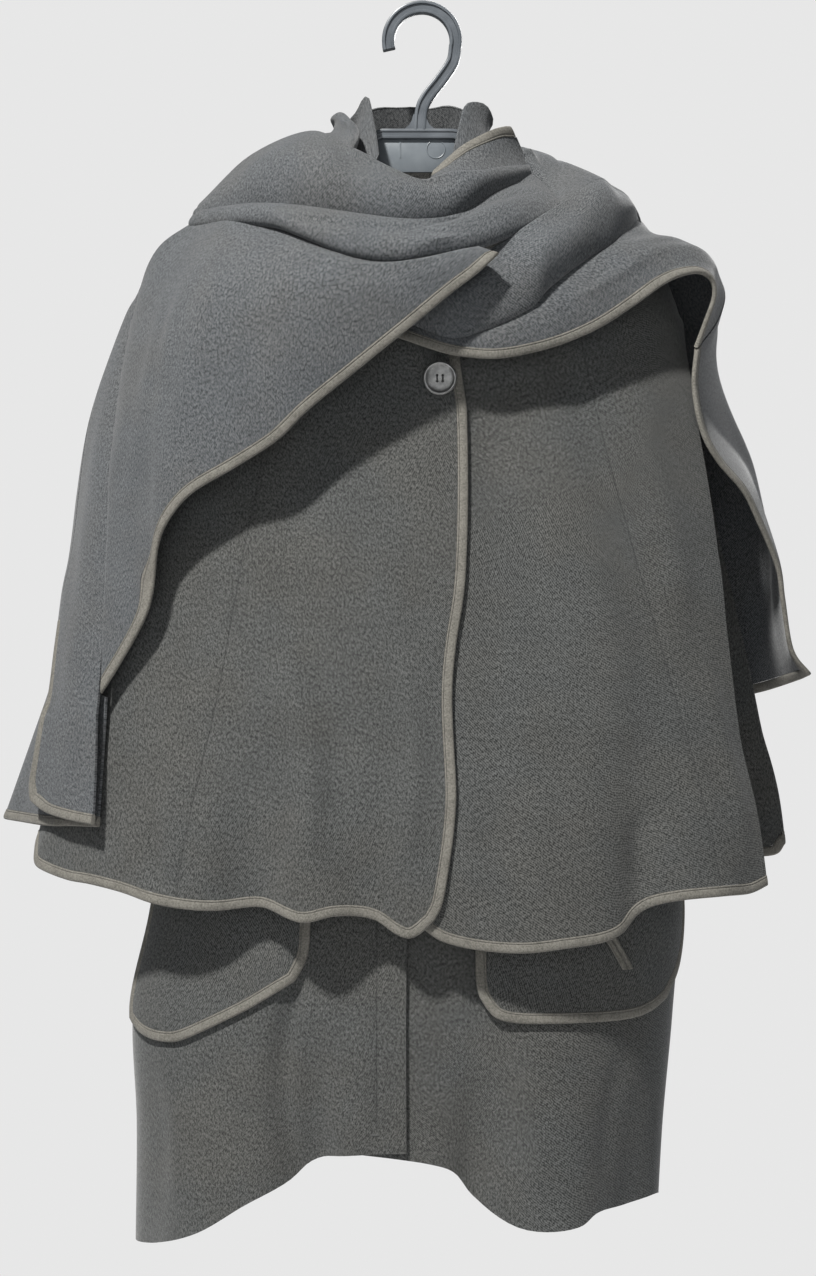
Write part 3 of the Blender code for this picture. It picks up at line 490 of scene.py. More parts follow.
@dataclass
class RingSurface(Surface):
    """A garment's body through its girth rings. Its cuts are (degrees from the centre front, height)."""

    rings: Rows = ()
    folds: Rows = ()
    flare: Rows = ()
    lap_side: int = 0
    lap: float = 5 * MM
    lap_start: float = 9.0
    lap_soft: float = 16.0
    side_power: float = 0.8
    creases: Rows = ()
    degree: float = 4.2

    def column(self, rows: Rows, number: int, z: Array) -> Array:
        """A column of a ring table at the heights, as a smooth curve."""
        places = np.interp(-z / MM, [-row[0] for row in rows], np.arange(len(rows)))
        return smooth_curve([[row[number]] for row in rows], places)[..., 0] * MM

    def either(self, rows: Rows, first: Array, number: int, z: Array) -> Array:
        """A column where first holds, and the next column elsewhere."""
        return np.where(first, self.column(rows, number, z), self.column(rows, number + 1, z))

    def push(self, angle: Array, z: Array) -> Array:
        """How far the folds, the front lap and the creases move the cloth outwards."""
        out = creased(self.creases, angle, z / MM, self.degree, 1.0)
        for at, width, depth, start, end in self.folds:
            ramp = np.clip((z / MM - start) / (end - start), 0, 1.15)
            out = out + depth * MM * np.exp(-(((angle - at) / width) ** 2)) * ramp**1.3
        if self.lap_side:
            away = np.clip((angle * self.lap_side - self.lap_start) / self.lap_soft, 0, 1)
            out = out - self.lap * (1 - eased(away))
        return out

    def place(self, cut: Array) -> Array:
        """The points at the cuts."""
        angle, z = cut[..., 0], cut[..., 1]
        side, depth = np.sin(np.radians(angle)), np.cos(np.radians(angle))
        half = self.either(self.rings, side < 0, 1, z)
        if self.flare:
            half = half + self.either(self.flare, side < 0, 1, z)
        deep = self.either(self.rings, depth > 0, 3, z)
        push = self.push(angle, z)
        y = -(deep * np.sign(depth) * np.abs(depth) ** self.side_power) - push * depth
        return np.stack([half * side + push * side, y, z], -1)


@dataclass
class PatchSurface(Surface):
    """A loose piece between four curves. Its cuts are (across, down), each from 0 to 1."""

    middle: Point = (0.0, 0.06, -0.32)
    steps: tuple[float, float] = (0.01, 0.01)
    top: Rows = ()
    bottom: Rows = ()
    left: Rows = ()
    right: Rows = ()
    belly: float = 0.0
    toward: Point = (0.0, -1.0, 0.0)
    creases: Rows = ()
    swell: float = 0.2
    reach: float = 1.0
    fine: int = 60
    rim: float = 0.012
    lines: list[Array] = field(default_factory=list)

    def __post_init__(self) -> None:
        """Works out the four curves."""
        curves = [self.top, self.bottom, (self.top[0], *self.left, self.bottom[0]),
                  (self.top[-1], *self.right, self.bottom[-1])]
        self.lines = [spread(np.array(rows, float) * MM, self.fine + 1) for rows in curves]
        middles = [smooth_curve(line, np.linspace(0, self.fine, 40)) for line in self.lines]
        self.spans = [float(run_along(line)[-1]) / MM for line in middles]

    def inside(self, cut: Array) -> Array:
        """The cuts, kept off the patch's very edge, where it has no slope."""
        return np.clip(cut, self.rim, 1 - self.rim)

    def at(self, line: int, place: Array) -> Array:
        """Points of one of the four curves."""
        return smooth_curve(self.lines[line], np.clip(place, 0, 1) * self.fine)

    def place(self, cut: Array) -> Array:
        """The points at the cuts."""
        u, v = np.clip(cut[..., 0], 0, 1), np.clip(cut[..., 1], 0, 1)
        top, bottom = self.at(0, u), self.at(1, u)
        across = top * (1 - v)[..., None] + bottom * v[..., None]
        first, last, t = self.lines[0], self.lines[1], v[..., None]
        left = self.at(2, v) - first[0] * (1 - t) - last[0] * t
        right = self.at(3, v) - first[-1] * (1 - t) - last[-1] * t
        sides = left * ((1 - u) ** self.reach)[..., None] + right * (u**self.reach)[..., None]
        span = np.linalg.norm(top - bottom, axis=-1)
        rise = np.minimum(self.belly * MM * np.sin(math.pi * u) ** 0.7, self.swell * span)
        rise = rise * np.sin(math.pi * v)
        wide, high = (self.spans[0] + self.spans[1]) / 2, (self.spans[2] + self.spans[3]) / 2
        rise = rise + creased(self.creases, u, v, wide, high) * np.clip(np.sin(math.pi * v) * 2, 0, 1)
        return across + sides + rise[..., None] * np.array(self.toward)


# Meshes


def mesh_of(name: str, body: Mesh) -> bpy.types.Mesh:
    """The bmesh as a mesh; the bmesh is freed."""
    mesh = bpy.data.meshes.new(name)
    body.to_mesh(mesh)
    body.free()
    return mesh


def linked(name: str, data: Any) -> Piece:
    """A new object of the data, in the scene at the origin."""
    made = bpy.data.objects.new(name, data)
    bpy.context.scene.collection.objects.link(made)
    return made


def add_piece(name: str, body: Mesh, material: Finish, smooth_under: float = 60.0) -> Piece:
    """Makes a piece that rides on the garment's one body.

    Args:
        name: The piece's name.
        body: Its bmesh, which is freed.
        material: Its finish.
        smooth_under: Edges sharper than this many degrees stay sharp.

    Returns:
        The piece.
    """
    bmesh.ops.recalc_face_normals(body, faces=body.faces[:])
    mesh = mesh_of(name, body)
    mesh.shade_smooth()
    mesh.set_sharp_from_angle(angle=math.radians(smooth_under))
    mesh.materials.append(material)
    made = linked(name, mesh)
    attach(made, BODY)
    LOG.info("%s: %d faces", name, len(mesh.polygons))
    return made


def grid_mesh(points: Array, weave: Array, marks: Array | None = None) -> Mesh:
    """A grid with its points placed, its UV map in metres and its marks.

    Args:
        points: Rows and columns of points.
        weave: Rows and columns of UV pairs.
        marks: The distance from a sewn line at each point, in metres.

    Returns:
        The bmesh.
    """
    rows, columns = points.shape[:2]
    body = bmesh.new()
    bmesh.ops.create_grid(body, x_segments=columns - 1, y_segments=rows - 1, size=1)
    line = body.verts.layers.float.new("line")
    flat = np.full(rows * columns, 1.0) if marks is None else marks.reshape(-1)
    for vert, place, mark in zip(body.verts, points.reshape(-1, 3), flat):
        vert.co = place
        vert[line] = mark
    layer = body.loops.layers.uv.new("weave")
    pairs = weave.reshape(-1, 2)
    body.verts.index_update()
    for face in body.faces:
        for loop in face.loops:
            loop[layer].uv = pairs[loop.vert.index]
    body.verts.ensure_lookup_table()
    return body


def run_lengths(points: Array, axis: int) -> Array:
    """The length run along an axis of a grid of points, from its middle."""
    step = np.linalg.norm(np.diff(points, axis=axis), axis=-1)
    start = np.zeros_like(np.take(step, [0], axis=axis))
    run = np.cumsum(np.concatenate([start, step], axis=axis), axis=axis)
    return run - np.take(run, [run.shape[axis] // 2], axis=axis)


def thick_cloth(name: str, outer: Array, inward: Array, material: Finish, marks: Array | None = None) -> Piece:
    """A thin closed shell of cloth.

    Args:
        name: The piece's name.
        outer: The outside as rows and columns of points.
        inward: For each point, the way to the inside.
        material: The cloth's finish.
        marks: The distance from a sewn line at each point.

    Returns:
        The piece.
    """
    weave = np.stack([run_lengths(outer, 1), -run_lengths(outer, 0)], -1)
    body = grid_mesh(outer, weave, marks)
    layer = body.verts.layers.float_vector.new("inward")
    for vert, depth in zip(body.verts, inward.reshape(-1, 3)):
        vert[layer] = depth
    pushed = bmesh.ops.extrude_face_region(body, geom=body.faces[:], use_keep_orig=True)
    for vert in (item for item in pushed["geom"] if isinstance(item, bmesh.types.BMVert)):
        vert.co += vert[layer]
    body.verts.layers.float_vector.remove(body.verts.layers.float_vector["inward"])
    return add_piece(name, body, material, CLOTH_EDGE)


def closed_strip(name: str, rings: Array, material: Finish) -> Piece:
    """A closed strip of tape through sections, with U in metres along it and V once round it.

    Args:
        name: The piece's name.
        rings: Stations along the strip by points round its section.
        material: Its finish.

    Returns:
        The piece.
    """
    loop = np.concatenate([rings, rings[:, :1]], axis=1)
    stations, around = loop.shape[:2]
    turns = np.arange(around) / (around - 1)
    weave = np.stack(np.broadcast_arrays(run_along(rings.mean(1))[:, None], turns[None, :]), -1)
    body = grid_mesh(loop, weave)
    starts = (0, (stations - 1) * around)
    for cap in [[body.verts[start + k] for k in range(around - 1)] for start in starts]:
        bmesh.ops.contextual_create(body, geom=cap)
    bmesh.ops.remove_doubles(body, verts=body.verts[:], dist=0.000002)
    return add_piece(name, body, material, TAPE_EDGE)


def lofted(rings: Sequence[Any]) -> Mesh:
    """A closed form through rings of points, with both ends filled.

    Args:
        rings: The rings in order, each with the same number of points.

    Returns:
        The bmesh.
    """
    body = bmesh.new()
    rows = [[body.verts.new(place) for place in ring] for ring in rings]
    loops = [[body.edges.new((row[k], row[(k + 1) % len(row)])) for k in range(len(row))] for row in rows]
    for low, high in zip(loops, loops[1:]):
        bmesh.ops.bridge_loops(body, edges=low + high)
    for row in (rows[0], rows[-1]):
        bmesh.ops.contextual_create(body, geom=row)
    return body


# Cut cloth


@dataclass(frozen=True)
class Roll:
    """A side of a panel that turns under in a soft round fold: its place, its radius and how far it turns."""

    side: str
    radius: float = 6 * MM
    turn: float = 165.0

    def turned(self, grid: Array) -> Array:
        """The grid with this side as its last row."""
        grid = grid.swapaxes(0, 1) if self.side in ("left", "right") else grid
        return grid[::-1] if self.side in ("top", "left") else grid

    def back(self, grid: Array) -> Array:
        """The grid in its first order."""
        grid = grid[::-1] if self.side in ("top", "left") else grid
        return grid.swapaxes(0, 1) if self.side in ("left", "right") else grid

    def added(self, outer: Array, outside: Array) -> tuple[Array, Array]:
        """The panel's points and normals with the fold's rows.

        Args:
            outer: The panel's outside points.
            outside: Their normals.

        Returns:
            Both with the fold's rows added at this side.
        """
        points, normals = self.turned(outer), self.turned(outside)
        last, normal = points[-1], normals[-1]
        along = last - points[-3]
        along = unit(along - normal * (along * normal).sum(-1, keepdims=True))
        turns = np.radians(np.linspace(0, self.turn, 9)[1:])[:, None, None]
        more = last + (along * np.sin(turns) - normal * (1 - np.cos(turns))) * self.radius
        facing = normal * np.cos(turns) + along * np.sin(turns)
        return self.back(np.concatenate([points, more])), self.back(np.concatenate([normals, facing]))


@dataclass
class Panel:
    """One cut piece of cloth, drawn as its top, right, bottom and left sides on a surface.

    Attributes:
        node: The solid that it stands for; its tape stands for the solid of that name with _binding.
        surface: What the outline is drawn on.
        sides: The four sides, from fine enough points.
        edges: How each side ends.
        rests_on: What it hangs from or lies on.
        held: How the cloth is held; not used.
        lift: How far it stands off the surface.
        bare: The share of the right side, from its top, that has no tape.
        marks: A function from points to their distance from a sewn line.
        rolls: The sides that turn under.
    """

    node: str
    surface: Surface
    sides: list[Array]
    edges: Sequence[Edge]
    rests_on: Sequence[str]
    held: Held = Held.HUNG
    lift: float = 0.0
    bare: float = 0.0
    marks: Any = None
    rolls: Sequence[Roll] = ()

    def inset(self, bound: float, sewn: float) -> list[Array]:
        """The sides moved into the outline, measured on the surface.

        Args:
            bound: How far a bound side moves, in metres.
            sewn: How far a seam moves.

        Returns:
            The moved sides.
        """
        surface = self.surface
        top, right, bottom, left = self.sides
        loop = np.concatenate([top[:-1], right[:-1], bottom[::-1][:-1], left[::-1][:-1]])
        lengths = [len(side) - 1 for side in self.sides]
        width = np.repeat([{B: bound, S: sewn, F: 0.0}[edge] for edge in self.edges], lengths)
        width[lengths[0]: lengths[0] + round(self.bare * lengths[1])] = 0.0
        a, b = surface.slopes(surface.inside(loop))
        up = unit(np.cross(a, b))
        place = surface.place(loop)
        edge = unit(np.roll(place, -1, 0) - place)
        area = np.sum(loop[:, 0] * np.roll(loop[:, 1], -1) - loop[:, 1] * np.roll(loop[:, 0], -1))
        inward = np.cross(up, edge) * (1 if area > 0 else -1)
        moved = loop.copy()
        for k in range(len(loop)):
            before, after = inward[k - 1], inward[k]
            both = np.stack([before, after, up[k]])
            if np.linalg.det(both) ** 2 < 0.03:
                mean = unit(before + after)
                shift = mean * max(width[k - 1], width[k]) / max(0.8, float(mean @ after))
            else:
                shift = np.linalg.solve(both, np.array([width[k - 1], width[k], 0.0]))
            moved[k] += np.linalg.lstsq(np.stack([a[k], b[k]], 1), shift, rcond=None)[0]
        ends = np.cumsum([0, *lengths])
        closed = np.concatenate([moved, moved[:1]])
        parts = [self.respaced(closed[ends[k]: ends[k + 1] + 1]) for k in range(4)]
        return [parts[0], parts[1], parts[2][::-1], parts[3][::-1]]

    def respaced(self, line: Array) -> Array:
        """The line's inner points spread again between its corners, which the neighbours' widths moved."""
        ahead = np.concatenate([[2 * line[1] - line[2]], line[1:-1], [2 * line[-2] - line[-3]]])
        steps = np.arange(len(line))
        places = np.linspace(0, len(line) - 1, 8 * len(line))
        fine = np.stack([np.interp(places, steps, ahead[:, k]) for k in (0, 1)], 1)
        place = self.surface.place(fine)
        run = run_along(place)
        first, last = (run[np.argmin(np.linalg.norm(place - self.surface.place(corner), axis=1))]
                       for corner in (line[0], line[-1]))
        wanted = first + (last - first) * np.interp(steps, places, run) / run[-1]
        made = np.stack([np.interp(wanted, run, fine[:, k]) for k in (0, 1)], 1)
        made[0], made[-1] = line[0], line[-1]
        return made

    def edge_run(self, bound: float, sewn: float) -> Array:
        """The points of the inset bound sides, in order round the outline, without the bare part."""
        top, right, bottom, left = self.inset(bound, sewn)
        around = [top, right, bottom[::-1], left[::-1]]
        start = next(k for k in range(4) if self.edges[k] is B and self.edges[k - 1] is not B)
        chosen: list[Array] = []
        for k in range(start, start + 4):
            if self.edges[k % 4] is not B:
                break
            chosen.append(around[k % 4][1 if chosen else 0:])
        return np.concatenate(chosen)[round(self.bare * (len(right) - 1)):]


@dataclass
class Tailor:
    """What every panel is made with: the wall, the tape and the finishes."""

    swatches: Swatches
    wall: float = 2.5 * MM
    tape: float = 8.8 * MM
    tuck: float = 0.15 * MM
    seam: float = 0.15 * MM
    cell: float = 6.0 * MM
    least_fill: float = 0.36
    crowd: float = 0.45
    tape_section: Rows = (
        (0.00, -0.15), (0.04, 0.45), (0.10, 0.68), (0.165, 0.55), (0.20, 0.22), (0.24, 0.55), (0.36, 0.82),
        (0.62, 0.92), (0.84, 0.72), (0.96, 0.10), (1.00, -1.25), (0.96, -2.6), (0.84, -3.2), (0.30, -3.2),
        (0.04, -3.0), (0.00, -2.35),
    )

    def tape_strip(self, name: str, node: str, surface: Surface, inner: Array, outer: Array, lift: float,
                   deep: float = 1.0) -> Piece:
        """Tape between two lines of cuts on a surface.

        Args:
            name: What it's on.
            node: The solid that it stands for.
            surface: What the lines are drawn on.
            inner: The line of its inner edge.
            outer: The line of its outer edge.
            lift: How far the cloth stands off the surface.
            deep: How high its section is, as a share.

        Returns:
            The piece.
        """
        rings = []
        for share, height in self.tape_section:
            cut = inner * (1 - share) + outer * share
            rings.append(surface.place(cut) + surface.normals(cut) * (lift + deep * height * MM))
        made = closed_strip("tape_" + name, np.stack(rings, 1), self.swatches.tape)
        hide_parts(node)
        return made

    def make(self, panel: Panel, material: Finish | None = None) -> None:
        """Makes a panel with its tape, in the coat's wool if no finish is given."""
        grid = coons(panel.inset(self.tape + self.tuck, 0.0 if material else self.seam))
        outside = panel.surface.normals(grid)
        outer = panel.surface.place(grid) + outside * panel.lift
        for roll in panel.rolls:
            outer, outside = roll.added(outer, outside)
        line = panel.marks(outer) if panel.marks else None
        made = thick_cloth("wool_" + panel.node, outer, -outside * self.wall, material or self.swatches.wool, line)
        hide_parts(panel.node)
        if B in panel.edges:
            inner, rim = (panel.edge_run(width, self.seam) for width in (self.tape, 0.0))
            self.tape_strip(panel.node, panel.node + "_binding", panel.surface, inner, rim, panel.lift)
        self.declare(panel, outer)

    def declare(self, panel: Panel, outer: Array) -> None:
        """States the cloth's flat cut.

        Args:
            panel: The cut piece.
            outer: Its outside points.
        """
        width, down = (float(np.linalg.norm(np.diff(outer, axis=axis), axis=-1).sum(axis).max()) for axis in (1, 0))
        a, b = outer[1:, 1:] - outer[:-1, :-1], outer[1:, :-1] - outer[:-1, 1:]
        area = float(np.linalg.norm(np.cross(a, b), axis=-1).sum() / 2)
        LOG.info("cut %s: width %.3f length %.3f area %.4f", panel.node, width, down, area)
        list(panel.rests_on)

    def hang(self, node: str, surface: RingSurface, outline: Outline, edges: Sequence[Edge],
             rests_on: Sequence[str], lift: float = 0.0, marks: Any = None) -> None:
        """Makes a hung panel of the coat's wool.

        Args:
            node: The solid that it stands for.
            surface: What it's drawn on.
            outline: Knots of its top, right, bottom and left, from the low angle or from the top.
            edges: How each side ends.
            rests_on: What it hangs from.
            lift: How far it stands off the surface.
            marks: A function from points to their distance from a sewn line.
        """
        scale = np.array([0.004, 1.0])
        knots = [np.array([(angle, z * MM) for angle, z in rows], float) for rows in outline]
        lengths = [run_along(surface.place(spread(rows * scale, 60) / scale))[-1] for rows in knots]
        counts = [max(4, round(max(lengths[k], lengths[k + 2]) / self.cell)) for k in (0, 1)]
        sides = []
        for side, count in zip(knots, counts * 2):
            line = spread(side * scale, count + 1, self.crowd) / scale
            line[:, 0] = np.clip(line[:, 0], side[:, 0].min(), side[:, 0].max())
            sides.append(line)
        self.make(Panel(node, surface, sides, edges, rests_on, lift=lift, marks=marks))

    def lay(self, node: str, surface: PatchSurface, edges: Sequence[Edge], rests_on: str,
            held: Held = Held.DRAPED, bare: float = 0.0, rolls: Sequence[Roll] = ()) -> None:
        """Makes a panel of the scarf's wool from the whole of a patch.

        Args:
            node: The solid that it stands for.
            surface: The patch.
            edges: How each side ends.
            rests_on: What it lies on.
            held: How it's held.
            bare: The share of the right side, from its top, that has no tape.
            rolls: The sides that turn under.
        """
        spans, cell = surface.spans, self.cell / MM
        u, v = (np.linspace(0, 1, max(6, round(max(spans[k: k + 2]) / cell)) + 1) for k in (0, 2))
        top, left = np.stack([u, 0 * u], 1), np.stack([0 * v, v], 1)
        self.make(Panel(node, surface, [top, left + [1, 0], top + [0, 1], left], edges, [rests_on], held, bare=bare,
                        rolls=rolls), self.swatches.scarf)


def mirrored(rows: Rows, about: float = 0.0) -> list[tuple[float, float]]:
    """The rows with their angles mirrored about one."""
    return [(2 * about - angle, z) for angle, z in rows]


# The coat


@dataclass
class CoatBody:
    """The long coat body: two fronts that lap at the centre, a back, and open armholes."""

    tailor: Tailor
    rings: Rows = (
        (-107.5, 57, 57, 44, 52), (-123, 80, 80, 50, 58), (-143.3, 110, 110, 56, 68), (-163.5, 140, 140, 62, 76),
        (-183.8, 170, 170, 68, 84), (-198, 188, 186, 72, 90), (-214, 200, 197, 76, 95), (-232, 207, 203, 79, 100),
        (-262, 214, 206, 82, 104), (-300, 215, 206, 85, 108), (-400, 212, 203, 91, 114), (-550, 214, 205, 99, 118),
        (-700, 222, 212, 107, 120), (-775, 232, 222, 113, 122), (-860, 250, 217, 118, 124),
        (-960, 247, 208, 118, 122), (-1070, 248, 202, 118, 118),
    )
    folds: Rows = (
        (-43, 15, 26, -830, -1050), (-22, 5, -20, -780, -980), (-8, 8, -4, -800, -980), (12, 6, -14, -860, -1000),
        (31, 13, 24, -830, -1030), (60, 10, -6, -850, -1020),
    )
    creases: Rows = (
        (-23.5, -800, -26, -990, 7, -9), (-60, -880, -52, -1010, 16, 2.5), (-14, -860, -12, -960, 9, 2),
        (20, -900, 24, -1010, 11, 2.5), (52, -880, 46, -1000, 13, -2.5), (5, -860, 6, -960, 8, -2),
        (150, -700, 148, -990, 22, 4), (180, -640, 180, -1000, 24, -4), (214, -700, 212, -1000, 22, 4),
        (240, -760, 240, -1020, 18, -3), (120, -760, 120, -1010, 18, -3),
    )
    armhole: Rows = (
        (-90, -107.5), (-90, -150), (-90, -200), (-84, -240), (-70, -290), (-65, -350), (-71, -410), (-85, -455),
        (-90, -490), (-90, -600), (-90, -760), (-90, -920),
    )
    hem_right: Rows = (
        (-90, -1062), (-76, -1057), (-60, -1048), (-44, -1031), (-34, -1006), (-27.5, -990), (-23, -973),
        (-15, -966), (-3.2, -963),
    )
    hem_left: Rows = (
        (-12, -966), (2, -973), (8, -982), (12.5, -1001), (21.5, -1022), (34, -1022), (42, -1015), (57, -1017),
        (75, -1016), (90, -1024),
    )
    placket_x: float = -37.5
    placket_top: float = -700.0
    placket_end: float = -948.0

    def surface(self, lap_side: int = 0) -> RingSurface:
        """The body's surface, set back where the left front runs under the right."""
        return RingSurface(middle=(0.0, 0.0, -0.6), rings=self.rings, folds=self.folds, lap_side=lap_side,
                           creases=self.creases, degree=3.3)

    def placket(self, points: Array) -> Array:
        """The distance from the line that holds the right front's facing down."""
        x, z = points[..., 0] / MM, points[..., 2] / MM
        away = (x - self.placket_x) * MM
        return np.where((z > self.placket_end) & (z < self.placket_top), away, 1.0)

    def build(self) -> None:
        """Makes the two fronts and the back."""
        hang, front, holder = self.tailor.hang, self.surface(), ["moulded_hanger"]
        other = mirrored(self.armhole)
        hang("coat_front_right", front, (
            ((-90, -107.5), (-60, -165), (-30, -225), (-3, -245)),
            ((-3, -245), (-3, -500), (-3.2, -750), (-3.2, -963)), self.hem_right,
            (*self.armhole, (-90, -1062))), (F, F, F, S), holder, marks=self.placket)
        hang("coat_front_left", self.surface(1), (
            ((-12, -245), (25, -228), (60, -165), (90, -107.5)), (*other, (90, -1024)), self.hem_left,
            ((-12, -245), (-12, -600), (-12, -966))), (F, S, F, F), holder)
        hang("coat_back", front, (
            ((90, -107.5), (130, -109), (180, -110), (230, -109), (270, -107.5)),
            (*mirrored(self.armhole, 90), (270, -1062)),
            ((90, -1024), (115, -1012), (150, -1004), (180, -1004), (215, -1012), (245, -1040), (270, -1062)),
            (*mirrored(other, 90), (90, -1024))), (F, S, F, S), holder)


@dataclass
class PatchPockets:
    """Two bound patch pockets, and the slanted welt on the left one."""

    tailor: Tailor
    coat: CoatBody
    lift: float = 4.6 * MM
    welt_lift: float = 7.5 * MM
    outlines: dict[str, Outline] = field(default_factory=lambda: {
        "pocket_right": (
            ((-80, -735), (-52, -735), (-23, -735)),
            ((-23, -735), (-23.1, -775), (-23.5, -802), (-26.4, -823)),
            ((-78.6, -868), (-68, -877.5), (-58, -880), (-50, -875), (-37.5, -853.5), (-30.5, -837), (-26.4, -823)),
            ((-80, -735), (-80, -800), (-80, -850), (-78.6, -868))),
        "pocket_left": (
            ((11, -740), (48, -740), (86, -740)),
            ((86, -740), (84, -775), (78, -818), (68, -846)),
            ((13.4, -844), (15.8, -852.5), (20.5, -857), (30, -858.5), (50, -859), (60, -854.5), (68, -846)),
            ((11, -740), (11, -796), (11.4, -828), (13.4, -844))),
    })
    welts: Rows = ((36.5, -768), (38, -767), (47.5, -817.5), (49, -816.5))

    def build(self) -> None:
        """Makes both pockets and the welt's two strips."""
        tailor, surface = self.tailor, self.coat.surface()
        for name, outline in self.outlines.items():
            tailor.hang(name, surface, outline, (F, B, B, B), ["wool_coat_front_" + name.split("_")[1]], self.lift)
        for name, shift in (("pocket_welt_upper", 0.0), ("pocket_welt_lower", 1.75)):
            corners = np.array([(angle + shift, z * MM) for angle, z in self.welts])
            places = np.linspace(0, 1, 16)[:, None]
            inner, outer = (start + (end - start) * places for start, end in zip(corners[:2], corners[2:]))
            tailor.tape_strip(name, name, surface, inner, outer, self.welt_lift, 0.8)


@dataclass
class Cape:
    """The cape's two fronts and its back. They join on the shoulders, and arm slits open below."""

    tailor: Tailor
    rings: Rows = (
        (-103.8, 57, 57, 50, 56), (-117.5, 80, 80, 57, 63), (-137.8, 110, 110, 64, 74), (-158, 140, 140, 71, 83),
        (-178.3, 170, 170, 79, 92), (-193, 190, 188, 84, 98), (-209, 206, 200, 88, 103), (-228, 218, 210, 92, 108),
        (-252, 230, 219, 95, 113), (-272, 237, 229, 97, 116), (-350, 265, 260, 102, 128), (-470, 287, 281, 116, 140),
        (-545, 297, 290, 124, 146), (-630, 315, 301, 134, 150), (-690, 328, 316, 142, 154),
        (-750, 342, 325, 146, 158), (-800, 352, 330, 148, 160),
    )
    folds: Rows = (
        (-64, 8, -5, -520, -745), (-38, 6, 6, -560, -760), (-25, 5, -14, -600, -765), (-14.5, 5, 12, -560, -765),
        (-7, 3.5, -7, -640, -770), (14, 9, 8, -560, -790), (34, 5, -13, -560, -775), (47, 7, 7, -560, -760),
        (150, 11, 10, -480, -740), (180, 12, 14, -450, -740), (214, 11, 10, -480, -740),
    )
    flare: Rows = ((-270, 0, 0, 0, 0), (-400, -5, 8, 0, 0), (-595, -10, 44, 0, 0), (-760, -14, 44, 0, 0))
    creases: Rows = (
        (-42, -690, -37, -752, 7, -4.5), (-33, -680, -31, -752, 9, 4), (-30, -430, -22, -640, 20, 5),
        (-18, -330, -20, -560, 24, -4), (-21, -560, -17, -748, 11, 5.5), (-12, -600, -9, -760, 12, -4.5),
        (-55, -480, -58, -700, 22, 4.5), (12, -320, 25, -560, 26, -5), (24, -420, 32, -660, 24, 4.5),
        (42, -330, 46, -560, 22, 4), (30, -300, 38, -470, 16, -2.5), (-70, -560, -72, -700, 14, -3),
        (52, -560, 55, -730, 15, 4), (4, -640, 6, -760, 11, 3), (-3, -560, -4, -740, 9, 3.5),
        (36, -680, 35, -752, 10, -3.5),
        (140, -330, 134, -700, 26, 4), (165, -300, 166, -720, 26, -4), (195, -320, 197, -700, 26, 4),
        (230, -360, 234, -700, 26, -4), (180, -190, 181, -420, 30, 3),
    )
    shoulder: Rows = ((-90, -103.8), (-90, -130), (-90, -157), (-90, -188), (-90, -215))
    seam_right: Rows = ((-240, -118), (-397, -133), (-509, -153), (-593, -168), (-700, -191), (-770, -202))
    seam_left: Rows = ((-240, 121), (-298, 132), (-380, 150), (-455, 170), (-545, 195), (-650, 224), (-770, 249))

    def surface(self, lap_side: int = 0, flare: Rows = ()) -> RingSurface:
        """The cape's surface, set back at the left front's lap or flared behind."""
        return RingSurface(rings=self.rings, folds=self.folds, flare=flare, lap_side=lap_side,
                           creases=self.creases, degree=4.6)

    @staticmethod
    def from_seam(rows: Rows, points: Array) -> Array:
        """The distance from a long shaped seam, given by its place across at some heights."""
        places = np.interp(-points[..., 2] / MM, [-row[0] for row in rows], np.arange(len(rows)))
        across = smooth_curve([[row[1]] for row in rows], places)[..., 0] * MM
        return (points[..., 0] - across) * 0.97

    def build(self) -> None:
        """Makes the two fronts and the back."""
        hang, under = self.tailor.hang, "wool_coat_back"
        other = mirrored(self.shoulder)
        hang("cape_front_right", self.surface(), (
            ((-90, -103.8), (-65, -160), (-40, -225), (-15, -275), (6.9, -296)),
            ((6.9, -296), (7.5, -330), (8.1, -360), (7.8, -430), (6.9, -500), (5.3, -550), (4.6, -593),
             (4.8, -673), (3.0, -748), (1.6, -769)),
            ((-80, -722), (-77, -734), (-70, -740), (-62, -744.5), (-54, -746), (-46, -751), (-38, -759),
             (-30, -764), (-23, -761), (-16, -770), (-11.5, -765), (-7, -768.5), (-3.5, -781), (-1.2, -782.5),
             (1.6, -769)),
            (*self.shoulder, (-88.5, -250), (-85, -330), (-82, -450), (-80, -600), (-80, -722))),
            (F, B, B, S), ["wool_coat_front_right", under],
            marks=lambda points: self.from_seam(self.seam_right, points))
        hang("cape_front_left", self.surface(1), (
            ((-4, -296), (20, -270), (45, -225), (68, -160), (90, -103.8)),
            (*other, (84, -250), (69, -305), (62.5, -360), (62, -430), (62, -545), (62, -650), (62, -749)),
            ((-2.6, -762), (0.4, -778), (3, -787), (8, -793), (14, -795), (20, -792), (26.5, -788), (30.8, -781),
             (33.6, -769), (36.5, -761), (41, -756), (48, -754), (56, -754), (62, -749)),
            ((-4, -296), (-4, -450), (-4, -600), (-4, -720), (-2.6, -762))),
            (F, S, B, B), ["wool_coat_front_left", under],
            marks=lambda points: self.from_seam(self.seam_left, points))
        hang("cape_back", self.surface(0, self.flare), (
            ((90, -103.8), (135, -105.3), (180, -106.3), (225, -105.3), (270, -103.8)),
            (*mirrored(self.shoulder, 90), (266, -250), (259, -330), (254, -450), (251, -600), (250, -722)),
            ((115.6, -730), (119, -741), (130, -745), (150, -750), (180, -752), (215, -750), (240, -742),
             (246, -735), (250, -722)),
            (*mirrored(other, 90), (98, -265), (108, -350), (115, -470), (117, -595), (116, -665), (115.6, -730))),
            (F, S, B, S), [under])


